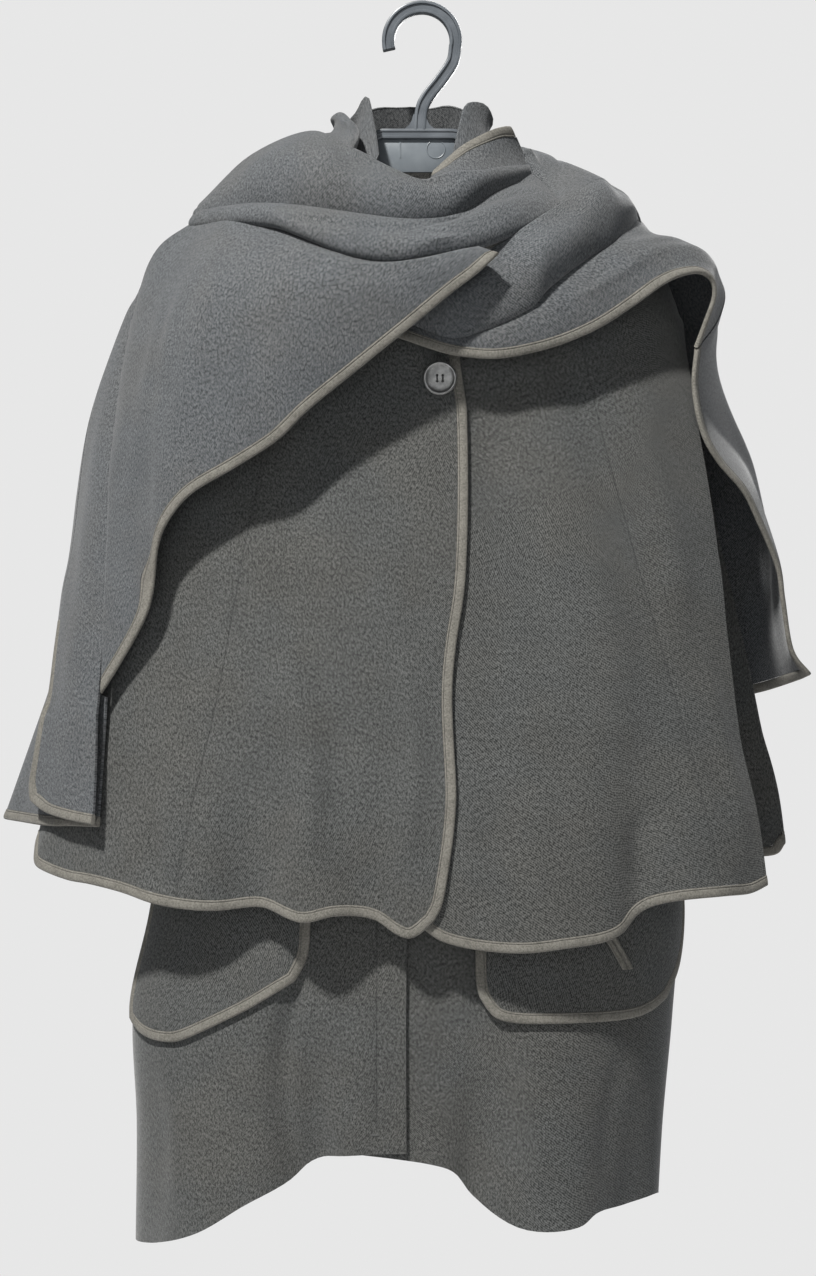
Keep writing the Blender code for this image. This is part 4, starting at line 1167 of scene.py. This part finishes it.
@dataclass
class StandCollar:
    """The stand collar: its soft edge stands behind the neck, and its two ends come forward under the scarf."""

    tailor: Tailor
    cape: Cape
    top: Rows = (
        (-37, -42, -132), (-42, -28, -104), (-49, -13, -76), (-58, -1, -87), (-67, 9, -98), (-63, 22, -92),
        (-51, 32, -79), (-38, 38, -73), (-22, 44, -71.5), (-8, 46, -70.5), (8, 45, -72), (24, 40, -70.5),
        (38, 34, -76), (49, 24, -84), (62, 11, -95), (58, 0, -82), (47, -10, -80), (38, -20, -86),
        (32, -32, -108), (26, -44, -134),
    )
    near_right: Rows = ((-44, -52, -150), (-52, -38, -138), (-57, -18, -120))
    near_left: Rows = ((57, -18, -120), (50, -38, -138), (38, -52, -150))

    def build(self) -> None:
        """Makes the collar from the cape's neck edge up to its standing line."""
        neckline = RingSurface(rings=self.cape.rings)
        angles = np.linspace(-95, -265, 12)
        heights = -103.8 - 2.5 * np.sin(np.radians(np.abs(angles) - 90))
        foot = neckline.place(np.stack([angles, heights * MM], -1)) / MM + np.array([0, 0, 0.5])
        surface = PatchSurface(middle=(0.0, 0.0, -0.1), top=self.top,
                               bottom=[*self.near_right, *[tuple(row) for row in foot], *self.near_left],
                               creases=((0.16, 0.1, 0.2, 0.8, 6, -2.0), (0.3, 0.1, 0.36, 0.7, 8, 2.5),
                                        (0.6, 0.1, 0.56, 0.8, 8, -2.0), (0.76, 0.1, 0.8, 0.8, 6, 2.0)))
        self.tailor.lay("collar_stand", surface, (F, F, F, F), "wool_cape_back", Held.FOLDED,
                        rolls=(Roll("top", 1.5 * MM, 150),))


# The scarf


def moved(rows: Rows, x: float, y: float, z: float) -> list[Point]:
    """The rows moved, for a stretch that starts just behind another."""
    return [(row[0] + x, row[1] + y, row[2] + z) for row in rows]


@dataclass
class WoundScarf:
    """The long scarf, wound twice round the neck, with its two wide ends over the arms."""

    tailor: Tailor
    wrap_top: Rows = (
        (93, -30, -138), (72, -65, -148), (49, -95, -158), (28, -107, -162), (3, -115, -171), (-23, -113, -161),
        (-60, -92, -139), (-95, -50, -114), (-148, -20, -128), (-194, 4, -164),
    )
    wrap_valley: Rows = (
        (94, -34, -144), (73, -68, -161), (49, -98, -179), (24, -118, -197), (3, -126, -202), (-23, -126, -201),
        (-59, -118, -195), (-101, -100, -186), (-145, -62, -178), (-196, -8, -172),
    )
    roll_low: Rows = (
        (117, -76, -181), (93, -102, -195), (67, -126, -214), (38, -142, -227), (7, -150, -233), (-20, -151, -238),
        (-59, -144, -231), (-100, -122, -213), (-144, -82, -190), (-200, -10, -180),
    )
    flap_edge: Rows = ((75, -43.5, -108.5), (69, -47, -109.5), (57, -56, -115), (35, -68, -129), (20, -76, -143),
                       (10, -82, -154))
    panel_top: Rows = (
        (44, -140, -229), (24, -143, -233), (-3, -146, -238), (-39, -143, -239), (-83, -131, -225),
        (-116, -108, -208), (-152, -74, -192), (-188, -22, -184), (-206, -6, -187), (-226, -2, -200),
        (-238, -2, -218), (-246, -4, -243),
    )
    tucks: tuple[float, ...] = (2, 6, 9, 14, 20, 22, 18, 8, 0, 0, 0, 0)
    panel_edge: Rows = (
        (60, -152, -236), (44, -153, -252), (23, -152, -268), (-11, -150, -296), (-51, -147, -328),
        (-92, -145, -361), (-116, -142, -384), (-151, -137, -406), (-188, -129, -427), (-209, -122, -451),
        (-218, -117, -475), (-222, -113, -509), (-230, -109, -532), (-250, -102, -566), (-265, -98, -589),
    )
    crease: Rows = ((-252, -24, -283), (-257, -40, -324), (-260, -54, -365), (-263, -66, -406), (-263, -74, -444),
                    (-264, -82, -495), (-265, -91, -545))
    tail_out: Rows = (
        (-249, 4, -245), (-257, 4, -258), (-270, 4, -291), (-284, 4, -331), (-293, 3, -368), (-299, 0, -417),
        (-302, -4, -450), (-305, -9, -476), (-310, -15, -504), (-315, -25, -549), (-319, -36, -592),
        (-324, -42, -608), (-330, -48, -645), (-333, -52, -668),
    )
    low_fold: Rows = ((-267, -99, -592), (-268, -103, -606), (-268, -108, -642), (-269, -112, -679))
    left_top: Rows = (
        (6, -126, -250), (38, -127, -240), (62, -122, -224), (91, -112, -203), (117, -94, -184), (133, -78, -169),
        (150, -56, -156), (162, -38, -159), (177, -20, -164), (189, 0, -184),
    )
    left_valley: Rows = (
        (-7, -118, -283), (23, -124, -297), (54, -130, -288), (90, -130, -270), (104, -124, -255),
        (126, -112, -236), (155, -86, -213), (170, -60, -201), (181, -34, -189), (191, -2, -183),
    )
    left_edge: Rows = (
        (-15, -114, -302), (14, -121, -311), (38, -124, -316), (62, -125, -317), (90, -124, -312),
        (118, -120, -303), (147, -114, -289), (176, -104, -269), (199, -94, -251), (215, -86, -242),
        (231, -77, -238), (243, -68, -243), (246, -64, -257), (239, -64, -277), (230, -65, -300),
    )
    left_side: Rows = ((208, 2, -198), (232, 4, -208), (246, 4, -218), (258, 2, -228), (263, 0, -240),
                       (261, -8, -254), (251, -26, -274))

    def lay_neck(self) -> None:
        """Lays the stretches round the neck, and the rolled edge behind them."""
        lay = self.tailor.lay
        lay("scarf_upper_wrap", PatchSurface(
            top=self.wrap_top, bottom=self.wrap_valley, belly=22, toward=(0, -0.92, 0.38),
            creases=((0.18, 0.35, 0.6, 0.62, 6, 2.5), (0.55, 0.2, 0.86, 0.5, 9, 4.0),
                     (0.42, 0.74, 0.95, 0.6, 6, -6.0), (0.25, 0.15, 0.55, 0.3, 7, -4.0))),
            (F, S, S, F), "wool_scarf_middle_roll",
            rolls=(Roll("bottom", 7 * MM), Roll("left", 10 * MM, 150), Roll("right", 8 * MM, 120),
                   Roll("top", 4 * MM)))
        lay("scarf_middle_roll", PatchSurface(
            top=moved(self.wrap_valley, 0, 9, 3), bottom=self.roll_low, belly=20, toward=(0, -0.98, 0.15),
            creases=((0.06, 0.55, 0.44, 0.42, 4, -6.5), (0.3, 0.66, 0.66, 0.75, 5, -4.0),
                     (0.08, 0.8, 0.4, 0.7, 4, 3.0), (0.3, 0.88, 0.75, 0.85, 8, 4.0),
                     (0.02, 0.25, 0.3, 0.2, 7, -7.0))),
            (S, S, F, F), "wool_scarf_right_panel",
            rolls=(Roll("bottom", 7 * MM), Roll("left", 8 * MM, 140), Roll("right", 8 * MM, 120)))
        lay("scarf_upper_flap", PatchSurface(
            top=self.flap_edge, bottom=moved(self.wrap_top[:5], 0, 3.3, -2.2), left=((85, -32, -126),)),
            (B, F, F, F), "wool_scarf_upper_wrap", rolls=(Roll("left", 3 * MM, 95),))
        lay("scarf_back_wrap", PatchSurface(
            top=((-62, -84, -136), (-60, -54, -116), (-72, -22, -98), (-80, 10, -91), (-68, 46, -98),
                 (-36, 67, -100), (10, 70, -100), (54, 58, -104), (84, 22, -110), (95, -22, -123.9)),
            bottom=((-194, 7.2, -163.4), (-190, 50, -182), (-120, 106, -212), (0, 118, -224),
                    (110, 108, -212), (176, 58, -192), *moved(self.left_top[:3:-1], 0, 2.5, 1.8)),
            left=((-95, -46, -115), (-148, -16.2, -127)), right=((108, -52, -158),), belly=10,
            toward=(0, 0.3, 0.9),
            creases=((0.1, 0.3, 0.5, 0.5, 9, -3.5), (0.45, 0.25, 0.85, 0.45, 9, 3), (0.3, 0.7, 0.8, 0.72, 8, -3),
                     (0.72, 0.2, 0.97, 0.6, 7, -2.5))),
            (F, F, F, F), "wool_cape_back",
            rolls=(Roll("bottom", 7 * MM, 150), Roll("right", 9 * MM, 120), Roll("top", 5 * MM, 150))),

    def panel_hidden_top(self) -> Rows:
        """The right panel's top, pushed up behind the middle roll where the roll hides it."""
        back, up = 0.95, 0.5
        return [(x, y + back * tuck, z + up * tuck) for (x, y, z), tuck in zip(self.panel_top, self.tucks)]

    def lay_right(self) -> None:
        """Lays the wide right end: its front panel, and the tail over the arm."""
        lay = self.tailor.lay
        lay("scarf_right_panel", PatchSurface(
            top=self.panel_hidden_top(), bottom=self.panel_edge, right=self.crease, belly=26,
            toward=(-0.4, -0.65, 0.65),
            creases=((0.2, 0.06, 0.62, 0.05, 9, -7.0), (0.05, 0.35, 0.45, 0.15, 14, 2.0),
                     (0.3, 0.12, 0.62, 0.1, 10, -2.5),
                     (0.45, 0.3, 0.8, 0.42, 20, 2.5), (0.62, 0.3, 0.72, 0.8, 18, -3.0),
                     (0.3, 0.55, 0.6, 0.75, 16, -1.5), (0.78, 0.2, 0.9, 0.7, 14, 2.5))),
            (F, S, B, F), "wool_cape_front_right")
        lay("scarf_right_tail_front", PatchSurface(
            top=((-238, -4, -226), (-239.5, 4, -226)),
            bottom=((-270, -114, -695.5), (-294.5, -95, -692.5), (-315.5, -74, -688.5), (-330.5, -59, -680)),
            left=[(-245.5, -5, -244), *self.crease, *self.low_fold], right=self.tail_out, belly=6,
            toward=(-0.75, -0.65, 0),
            creases=((0.5, 0.2, 0.35, 0.7, 12, -2.0), (0.7, 0.45, 0.72, 0.9, 10, 2.0))),
            (F, B, B, F), "wool_scarf_right_tail_back", Held.HUNG, 12 / 18)
        lay("scarf_right_tail_rear", PatchSurface(
            top=((-262, -91, -592), (-288, -68, -582), (-310, -26, -570), (-319, 10, -566), (-312, 66, -566),
                 (-268, 128, -568)),
            bottom=((-267, -104, -698), (-292, -84, -699), (-316, -60, -701), (-345, -14, -702),
                    (-369, 26, -702), (-352, 84, -706), (-296, 150, -714)),
            left=((-264, -97, -640),), right=((-282, 140, -640),),
            creases=((0.55, 0.1, 0.6, 0.9, 14, 3.0), (0.8, 0.1, 0.84, 0.9, 14, -3.0))),
            (S, F, B, S), "wool_scarf_right_tail_back", Held.HUNG)
        lay("scarf_right_tail_back", PatchSurface(
            top=((-194, 3, -176), (-176, 50, -186), (-136, 80, -203)),
            bottom=((-314.5, -27, -572), (-321, 10, -571), (-314, 66.5, -570), (-269, 129, -571)),
            left=((-212, 1, -190), (-228, -1, -203), (-238, -1, -220), *moved(self.tail_out[:9], 0.2, -1.0, 0),
                  (-314, -25, -553)),
            right=((-170, 112, -250), (-210, 122, -340), (-240, 126, -450)), belly=14, toward=(-0.7, 0.7, 0.1),
            creases=((0.3, 0.25, 0.35, 0.85, 16, 3.0), (0.62, 0.2, 0.66, 0.9, 16, -3.5),
                     (0.82, 0.3, 0.86, 0.9, 12, 2.5))),
            (F, F, S, F), "wool_cape_back", Held.HUNG)

    def lay_left(self) -> None:
        """Lays the left end: the roll over the shoulder, its panel, and the tail over the arm."""
        lay = self.tailor.lay
        lay("scarf_left_roll", PatchSurface(
            top=self.left_top, bottom=self.left_valley, belly=20, toward=(0.1, -0.9, 0.4),
            creases=((0.3, 0.3, 0.72, 0.25, 9, 4.0), (0.2, 0.6, 0.7, 0.7, 7, -5.0),
                     (0.72, 0.35, 0.95, 0.4, 6, 3.5), (0.05, 0.3, 0.3, 0.55, 8, -3.0))),
            (F, S, S, F), "wool_scarf_left_panel",
            rolls=(Roll("bottom", 8 * MM), Roll("right", 8 * MM, 140), Roll("left", 6 * MM, 120),
                   Roll("top", 5 * MM, 130)))
        lay("scarf_left_panel", PatchSurface(
            top=[(-20, -106, -276), *moved(self.left_valley[1:], 0, 9, 5)],
            bottom=[(-28, -111, -295), *self.left_edge[1:]], right=self.left_side, belly=8,
            toward=(0.3, -0.85, 0.4), reach=3.0,
            creases=((0.15, 0.08, 0.8, 0.1, 10, -6.0), (0.45, 0.45, 0.72, 0.35, 8, 1.5),
                     (0.7, 0.3, 0.88, 0.5, 9, -1.5))),
            (S, S, B, F), "wool_cape_front_left")
        lay("scarf_left_tail", PatchSurface(
            top=[*moved([self.left_edge[-1], *self.left_side[::-1]], 0.7, 1.0, -0.9), (192.4, 0.4, -185.6)],
            bottom=((340, 6, -574), (334, 34, -580), (312, 90, -592), (272, 128, -602)),
            left=((228, -66, -333), (235, -66, -370), (249, -60, -394), (272, -48, -418), (286, -38, -442),
                  (306, -20, -481), (312, -14, -510), (322, -4, -553)),
            right=((181, 60, -203), (186, 100, -266), (215, 116, -380), (245, 122, -490)),
            belly=18, toward=(0.9, 0.3, 0.1),
            creases=((0.25, 0.35, 0.3, 0.9, 13, -3.0), (0.5, 0.25, 0.52, 0.9, 18, 3.5),
                     (0.75, 0.2, 0.76, 0.9, 15, -3.5), (0.4, 0.08, 0.75, 0.2, 12, 3.0))),
            (S, F, B, B), "wool_cape_back", Held.HUNG)

    def build(self) -> None:
        """Makes every stretch."""
        self.lay_neck()
        self.lay_right()
        self.lay_left()


# Hard pieces


def swept(path: Array, section: Rows) -> Mesh:
    """A closed bar: a section of (across, deep) points in metres, carried along a path in the XZ plane."""
    along = unit(np.gradient(path, axis=0))
    side = np.stack([-along[:, 2], 0 * along[:, 0], along[:, 0]], 1)
    return lofted([[place + across * a + np.array([0, deep, 0]) for a, deep in section]
                   for place, across in zip(path, side)])


def add_bead(body: Mesh, at: Sequence[float], radii: Point, around: int) -> None:
    """Adds an oval bead of thread, with its centre and radii in millimetres."""
    for vert in bmesh.ops.create_uvsphere(body, u_segments=around, v_segments=around - 2, radius=1.0)["verts"]:
        vert.co = Vector([place + part * half for place, part, half in zip(at, vert.co, radii)]) * MM


@dataclass
class MouldedHanger:
    """The hook with its foot, the bar with its two arms, and the pale web plate under the foot."""

    swatches: Swatches
    hook_centre: float = -23.9
    hook_radius: float = 29.4
    hook_turns: tuple[float, float] = (194.5, -6.0)
    hook_width: float = 10.9
    depth: float = 9.0
    groove: float = 1.6
    neck: Rows = ((29.0, 0, -27), (26.5, 0, -42), (16, 0, -58), (4.7, 0, -72.5), (-0.5, 0, -84), (-2.2, 0, -103))
    bar: Rows = ((-176, 0, -203), (-140, 0, -177.7), (-80, 0, -135), (-42, 0, -108), (-35, 0, -105), (27, 0, -105),
                 (38, 0, -108), (80, 0, -135), (140, 0, -177.7), (176, 0, -203))
    foot_x: float = -2.2
    foot_deep: float = 3.4
    foot_spread: Rows = ((-88, 5.4), (-93, 6.6), (-97, 8.6), (-100.5, 12.5), (-103, 19))
    plate: tuple[float, float, float, float] = (-42, 32, -108, -138)
    ring_at: tuple[float, float] = (12, -118)
    mark_at: tuple[float, float] = (-19, -118)

    def bar_section(self, width: float, depth: float, groove: float) -> Rows:
        """Half of the hook's I-shaped section mirrored: rounded lips round a shallow groove."""
        a, d, lip = width / 2 * MM, depth / 2 * MM, 2.7 * MM
        quarter = [(a, d - 1.5 * MM), (a - 0.45 * MM, d - 0.45 * MM), (a - 1.5 * MM, d), (a - lip, d - 0.1 * MM),
                   (a - lip - 0.5 * MM, d - groove * MM)]
        top = quarter + [(-x, y) for x, y in quarter[::-1]]
        return top + [(-x, -y) for x, y in top]

    def build(self) -> None:
        """Makes the hanger's hook, arms, foot and plate."""
        turns = np.radians(np.linspace(*self.hook_turns, 60))
        arc = np.stack([self.hook_radius * np.cos(turns), 0 * turns,
                        self.hook_centre + self.hook_radius * np.sin(turns)], 1) * MM
        path = np.concatenate([arc, spread(np.array(self.neck, float) * MM, 36)[1:]])
        knots = np.array(self.bar, float) * MM
        arms = np.concatenate([knots[:1], *[np.linspace(a, b, 5)[1:] for a, b in zip(knots, knots[1:])]])
        plastic, hook = self.swatches.plastic, self.bar_section(self.hook_width, self.depth, self.groove)
        made = [add_piece(name, body, finish, PLASTIC_EDGE) for name, body, finish in (
            ("moulded_hanger", swept(path, hook), plastic),
            ("hanger_arms", swept(arms, self.bar_section(9.0, 9.0, 0.9)), plastic),
            ("hanger_foot", self.foot(), plastic),
            ("hanger_plate", self.web_plate(), self.swatches.web))]
        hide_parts("hanger")

    def foot(self) -> Mesh:
        """The flared foot where the neck meets the bar."""
        x, deep = self.foot_x, self.foot_deep
        corners = ((1, deep), (-1, deep), (-1, -deep), (1, -deep))
        return lofted(np.array([[(x + side * half, y, z) for side, y in corners]
                                for z, half in self.foot_spread]) * MM)

    def web_plate(self) -> Mesh:
        """The thin web plate with a plain moulded ring and a short raised line."""
        left, right, top, low = self.plate
        body = bmesh.new()
        middle = Vector(((left + right) / 2, 0, (top + low) / 2))
        for vert in bmesh.ops.create_cube(body, size=1.0)["verts"]:
            x, y, z = vert.co
            vert.co = (middle + Vector((x * (right - left), y * 2.4, z * (top - low)))) * MM
        bmesh.ops.bevel(body, geom=body.edges[:], offset=0.4 * MM, offset_type="OFFSET", segments=2, profile=0.5,
                        affect="EDGES", material=-1)
        self.add_ring(body)
        return body

    def add_ring(self, body: Mesh) -> None:
        """A moulded ring and a raised line on the plate's front."""
        x, z = self.ring_at
        start = body.verts.new(Vector((x + 7.4, -1.0, z)) * MM)
        profile = [start] + [body.verts.new(Vector((x + 7.4 + a, -1.0 - b, z)) * MM) for a, b in (
            (0.1, 0.6), (0.5, 0.75), (0.9, 0.6), (1.0, 0.0))]
        edges = [body.edges.new(pair) for pair in zip(profile, profile[1:])]
        edges.append(body.edges.new((profile[-1], profile[0])))
        bmesh.ops.spin(body, geom=profile + edges, cent=Vector((x, 0, z)) * MM, axis=(0, 1, 0), angle=math.tau,
                       steps=40, use_merge=True)
        line = bmesh.ops.create_cube(body, size=1.0)["verts"]
        x, z = self.mark_at
        for vert in line:
            vert.co = Vector((x + vert.co.x * 1.1, -1.25 + vert.co.y * 0.9, z + vert.co.z * 15)) * MM


@dataclass
class HornButton:
    """The dished button with its raised rim, four holes and thread."""

    swatches: Swatches
    at: Point = (14.0, -102.8, -330.0)
    lean: float = 3.0
    profile: Rows = ((0, 0.0), (12.6, 0.0), (13.6, 0.5), (14.0, 1.5), (13.9, 2.6), (13.4, 3.3), (12.6, 3.6),
                     (11.8, 3.4), (11.0, 2.7), (10.3, 2.35), (8.5, 2.0), (5.5, 1.8), (2.5, 1.85), (0, 1.9))
    hole: float = 1.15
    hole_at: float = 2.3

    def build(self) -> None:
        """Makes the button and its thread."""
        body = bmesh.new()
        ring = [body.verts.new((r * MM, -h * MM, 0)) for r, h in self.profile]
        edges = [body.edges.new(pair) for pair in zip(ring, ring[1:])]
        bmesh.ops.spin(body, geom=ring + edges, cent=(0, 0, 0), axis=(0, 1, 0), angle=math.tau, steps=72,
                       use_merge=True)
        bmesh.ops.remove_doubles(body, verts=body.verts[:], dist=0.00001)
        self.seat(body)
        button = add_piece("horn_button", body, self.swatches.horn, BUTTON_EDGE)
        holes = bmesh.new()
        for x in (-self.hole_at, self.hole_at):
            for z in (-self.hole_at, self.hole_at):
                for vert in bmesh.ops.create_cone(holes, cap_ends=True, segments=20, radius1=self.hole * MM,
                                                  radius2=self.hole * MM, depth=10 * MM)["verts"]:
                    vert.co = (vert.co.x + x * MM, vert.co.z - 1.5 * MM, vert.co.y + z * MM)
        bmesh.ops.recalc_face_normals(holes, faces=holes.faces[:])
        self.seat(holes)
        cutter = linked("button_drill", mesh_of("button_drill", holes))
        cut = button.modifiers.new("holes", "BOOLEAN")
        cut.operation, cut.solver, cut.object = "DIFFERENCE", "EXACT", cutter
        graph = bpy.context.evaluated_depsgraph_get()
        drilled = bpy.data.meshes.new_from_object(button.evaluated_get(graph))
        button.modifiers.clear()
        button.data = drilled
        drilled.shade_smooth()
        drilled.set_sharp_from_angle(angle=math.radians(DRILLED_EDGE))
        bpy.data.objects.remove(cutter, do_unlink=True)
        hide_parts("button")
        self.add_thread()

    def seat(self, body: Mesh) -> None:
        """Turns and moves the bmesh to the button's place."""
        lean = Matrix.Rotation(math.radians(self.lean), 3, "X")
        bmesh.ops.rotate(body, verts=body.verts[:], cent=(0, 0, 0), matrix=lean)
        bmesh.ops.translate(body, verts=body.verts[:], vec=Vector(self.at) * MM)

    def add_thread(self) -> None:
        """Two bars of thread over the holes."""
        body = bmesh.new()
        for x in (-self.hole_at, self.hole_at):
            for shift in (-0.35, 0.35):
                add_bead(body, (x + shift, -2.05, 0.0), (0.38, 0.55, 2.9), 10)
        self.seat(body)
        add_piece("button_thread", body, self.swatches.thread)


@dataclass
class HandStitches:
    """The end of the buttonhole beside the button, and the bar tack that ends the placket's line."""

    swatches: Swatches
    cape: Cape
    coat: CoatBody
    hole: tuple[float, float, float, float] = (-1.9, -321.0, 6.4, 1.3)
    tack: tuple[float, float, float, float] = (-9.2, -948.0, 5.0, 1.0)
    lift: float = 0.2

    def build(self) -> None:
        """Makes both stitches."""
        for name, surface, (angle, z, wide, high) in (
                ("buttonhole_end", self.cape.surface(), self.hole), ("placket_tack", self.coat.surface(), self.tack)):
            cut = np.array([[angle, z * MM]])
            centre = (surface.place(cut) + surface.normals(cut) * self.lift * MM)[0] / MM
            body = bmesh.new()
            for share in np.linspace(-0.5, 0.5, 9):
                add_bead(body, centre + [share * wide, 0, 0], (0.45, 0.55, high), 8)
            add_piece(name, body, self.swatches.thread)


# Studio


@dataclass
class Studio:
    """The camera, the pale floor and the soft lights."""

    eye: Point = (-0.0122, -1.8, -0.543)
    lens: float = 36 * 1.8 / 1.11012
    floor_z: float = -1.80
    floor_half: float = 1.75
    pale: Colour = (0.80, 0.80, 0.80)
    fill: float = 0.17
    lights: Sequence[tuple[str, Point, Point, float, float, Colour]] = (
        ("key", (-1.35, -2.35, 2.7), (0.0, 0.0, -0.55), 0.26, 284.0, (1.0, 0.99, 0.97)),
        ("front_fill", (-0.1, -2.5, -0.4), (0.0, 0.0, -0.65), 1.6, 13.0, (0.96, 0.98, 1.0)),
        ("back_fill", (0.8, 2.2, 0.6), (0.0, 0.0, -0.6), 1.4, 46.0, (1.0, 1.0, 1.0)),
    )

    def build(self) -> None:
        """Makes the camera, floor, world and lights."""
        scene = bpy.context.scene
        camera = linked("camera", bpy.data.cameras.new("camera"))
        camera.data.lens, camera.data.sensor_width, camera.data.clip_start = self.lens, 36, 0.05
        camera.location = self.eye
        camera.rotation_euler = (math.radians(90), 0, 0)
        scene.camera = camera
        scene.view_settings.view_transform = "Standard"
        self.add_floor()
        self.add_world()
        for light in self.lights:
            self.add_light(*light)

    def add_floor(self) -> None:
        """A pale floor below the hem, too small to reach into the photograph's view."""
        body = bmesh.new()
        bmesh.ops.create_grid(body, x_segments=8, y_segments=8, size=self.floor_half)
        bmesh.ops.translate(body, verts=body.verts[:], vec=(0, 0, self.floor_z))
        floor = linked("studio_floor", mesh_of("studio_floor", body))
        floor.data.materials.append(StudioPaper().material())

    def add_world(self) -> None:
        """A pale backdrop for the camera, and a dimmer one as fill light."""
        world = bpy.data.worlds.new("pale_studio")
        world.use_nodes = True
        bpy.context.scene.world = world
        tree = world.node_tree
        seen = tree.nodes["Background"]
        seen.inputs[0].default_value = (*self.pale, 1)
        seen.inputs[1].default_value = 1.0
        lit = tree.nodes.new("ShaderNodeBackground")
        lit.inputs[0].default_value = (0.92, 0.96, 1.0, 1)
        lit.inputs[1].default_value = self.fill
        path = tree.nodes.new("ShaderNodeLightPath")
        mix = tree.nodes.new("ShaderNodeMixShader")
        tree.links.new(path.outputs["Is Camera Ray"], mix.inputs[0])
        tree.links.new(lit.outputs[0], mix.inputs[1])
        tree.links.new(seen.outputs[0], mix.inputs[2])
        tree.links.new(mix.outputs[0], tree.nodes["World Output"].inputs[0])

    @staticmethod
    def add_light(name: str, at: Point, toward: Point, size: float, power: float, colour: Colour) -> None:
        """A square soft light.

        Args:
            name: Its name.
            at: Its place.
            toward: What it faces.
            size: Its side, in metres.
            power: Its power in watts.
            colour: Its colour.
        """
        light = bpy.data.lights.new(name, "AREA")
        light.size, light.energy, light.color = size, power, colour
        made = linked(name, light)
        made.location = at
        made.rotation_euler = (Vector(toward) - Vector(at)).to_track_quat("-Z", "Y").to_euler()


def main() -> None:
    """Builds every sub-assembly in order."""
    logging.basicConfig(level=logging.INFO, format="%(message)s")
    Studio().build()
    swatches = Swatches()
    tailor = Tailor(swatches)
    MouldedHanger(swatches).build()
    coat = CoatBody(tailor)
    coat.build()
    PatchPockets(tailor, coat).build()
    cape = Cape(tailor)
    cape.build()
    StandCollar(tailor, cape).build()
    WoundScarf(tailor).build()
    HornButton(swatches).build()
    HandStitches(swatches, cape, coat).build()


if __name__ == "__main__":
    main()
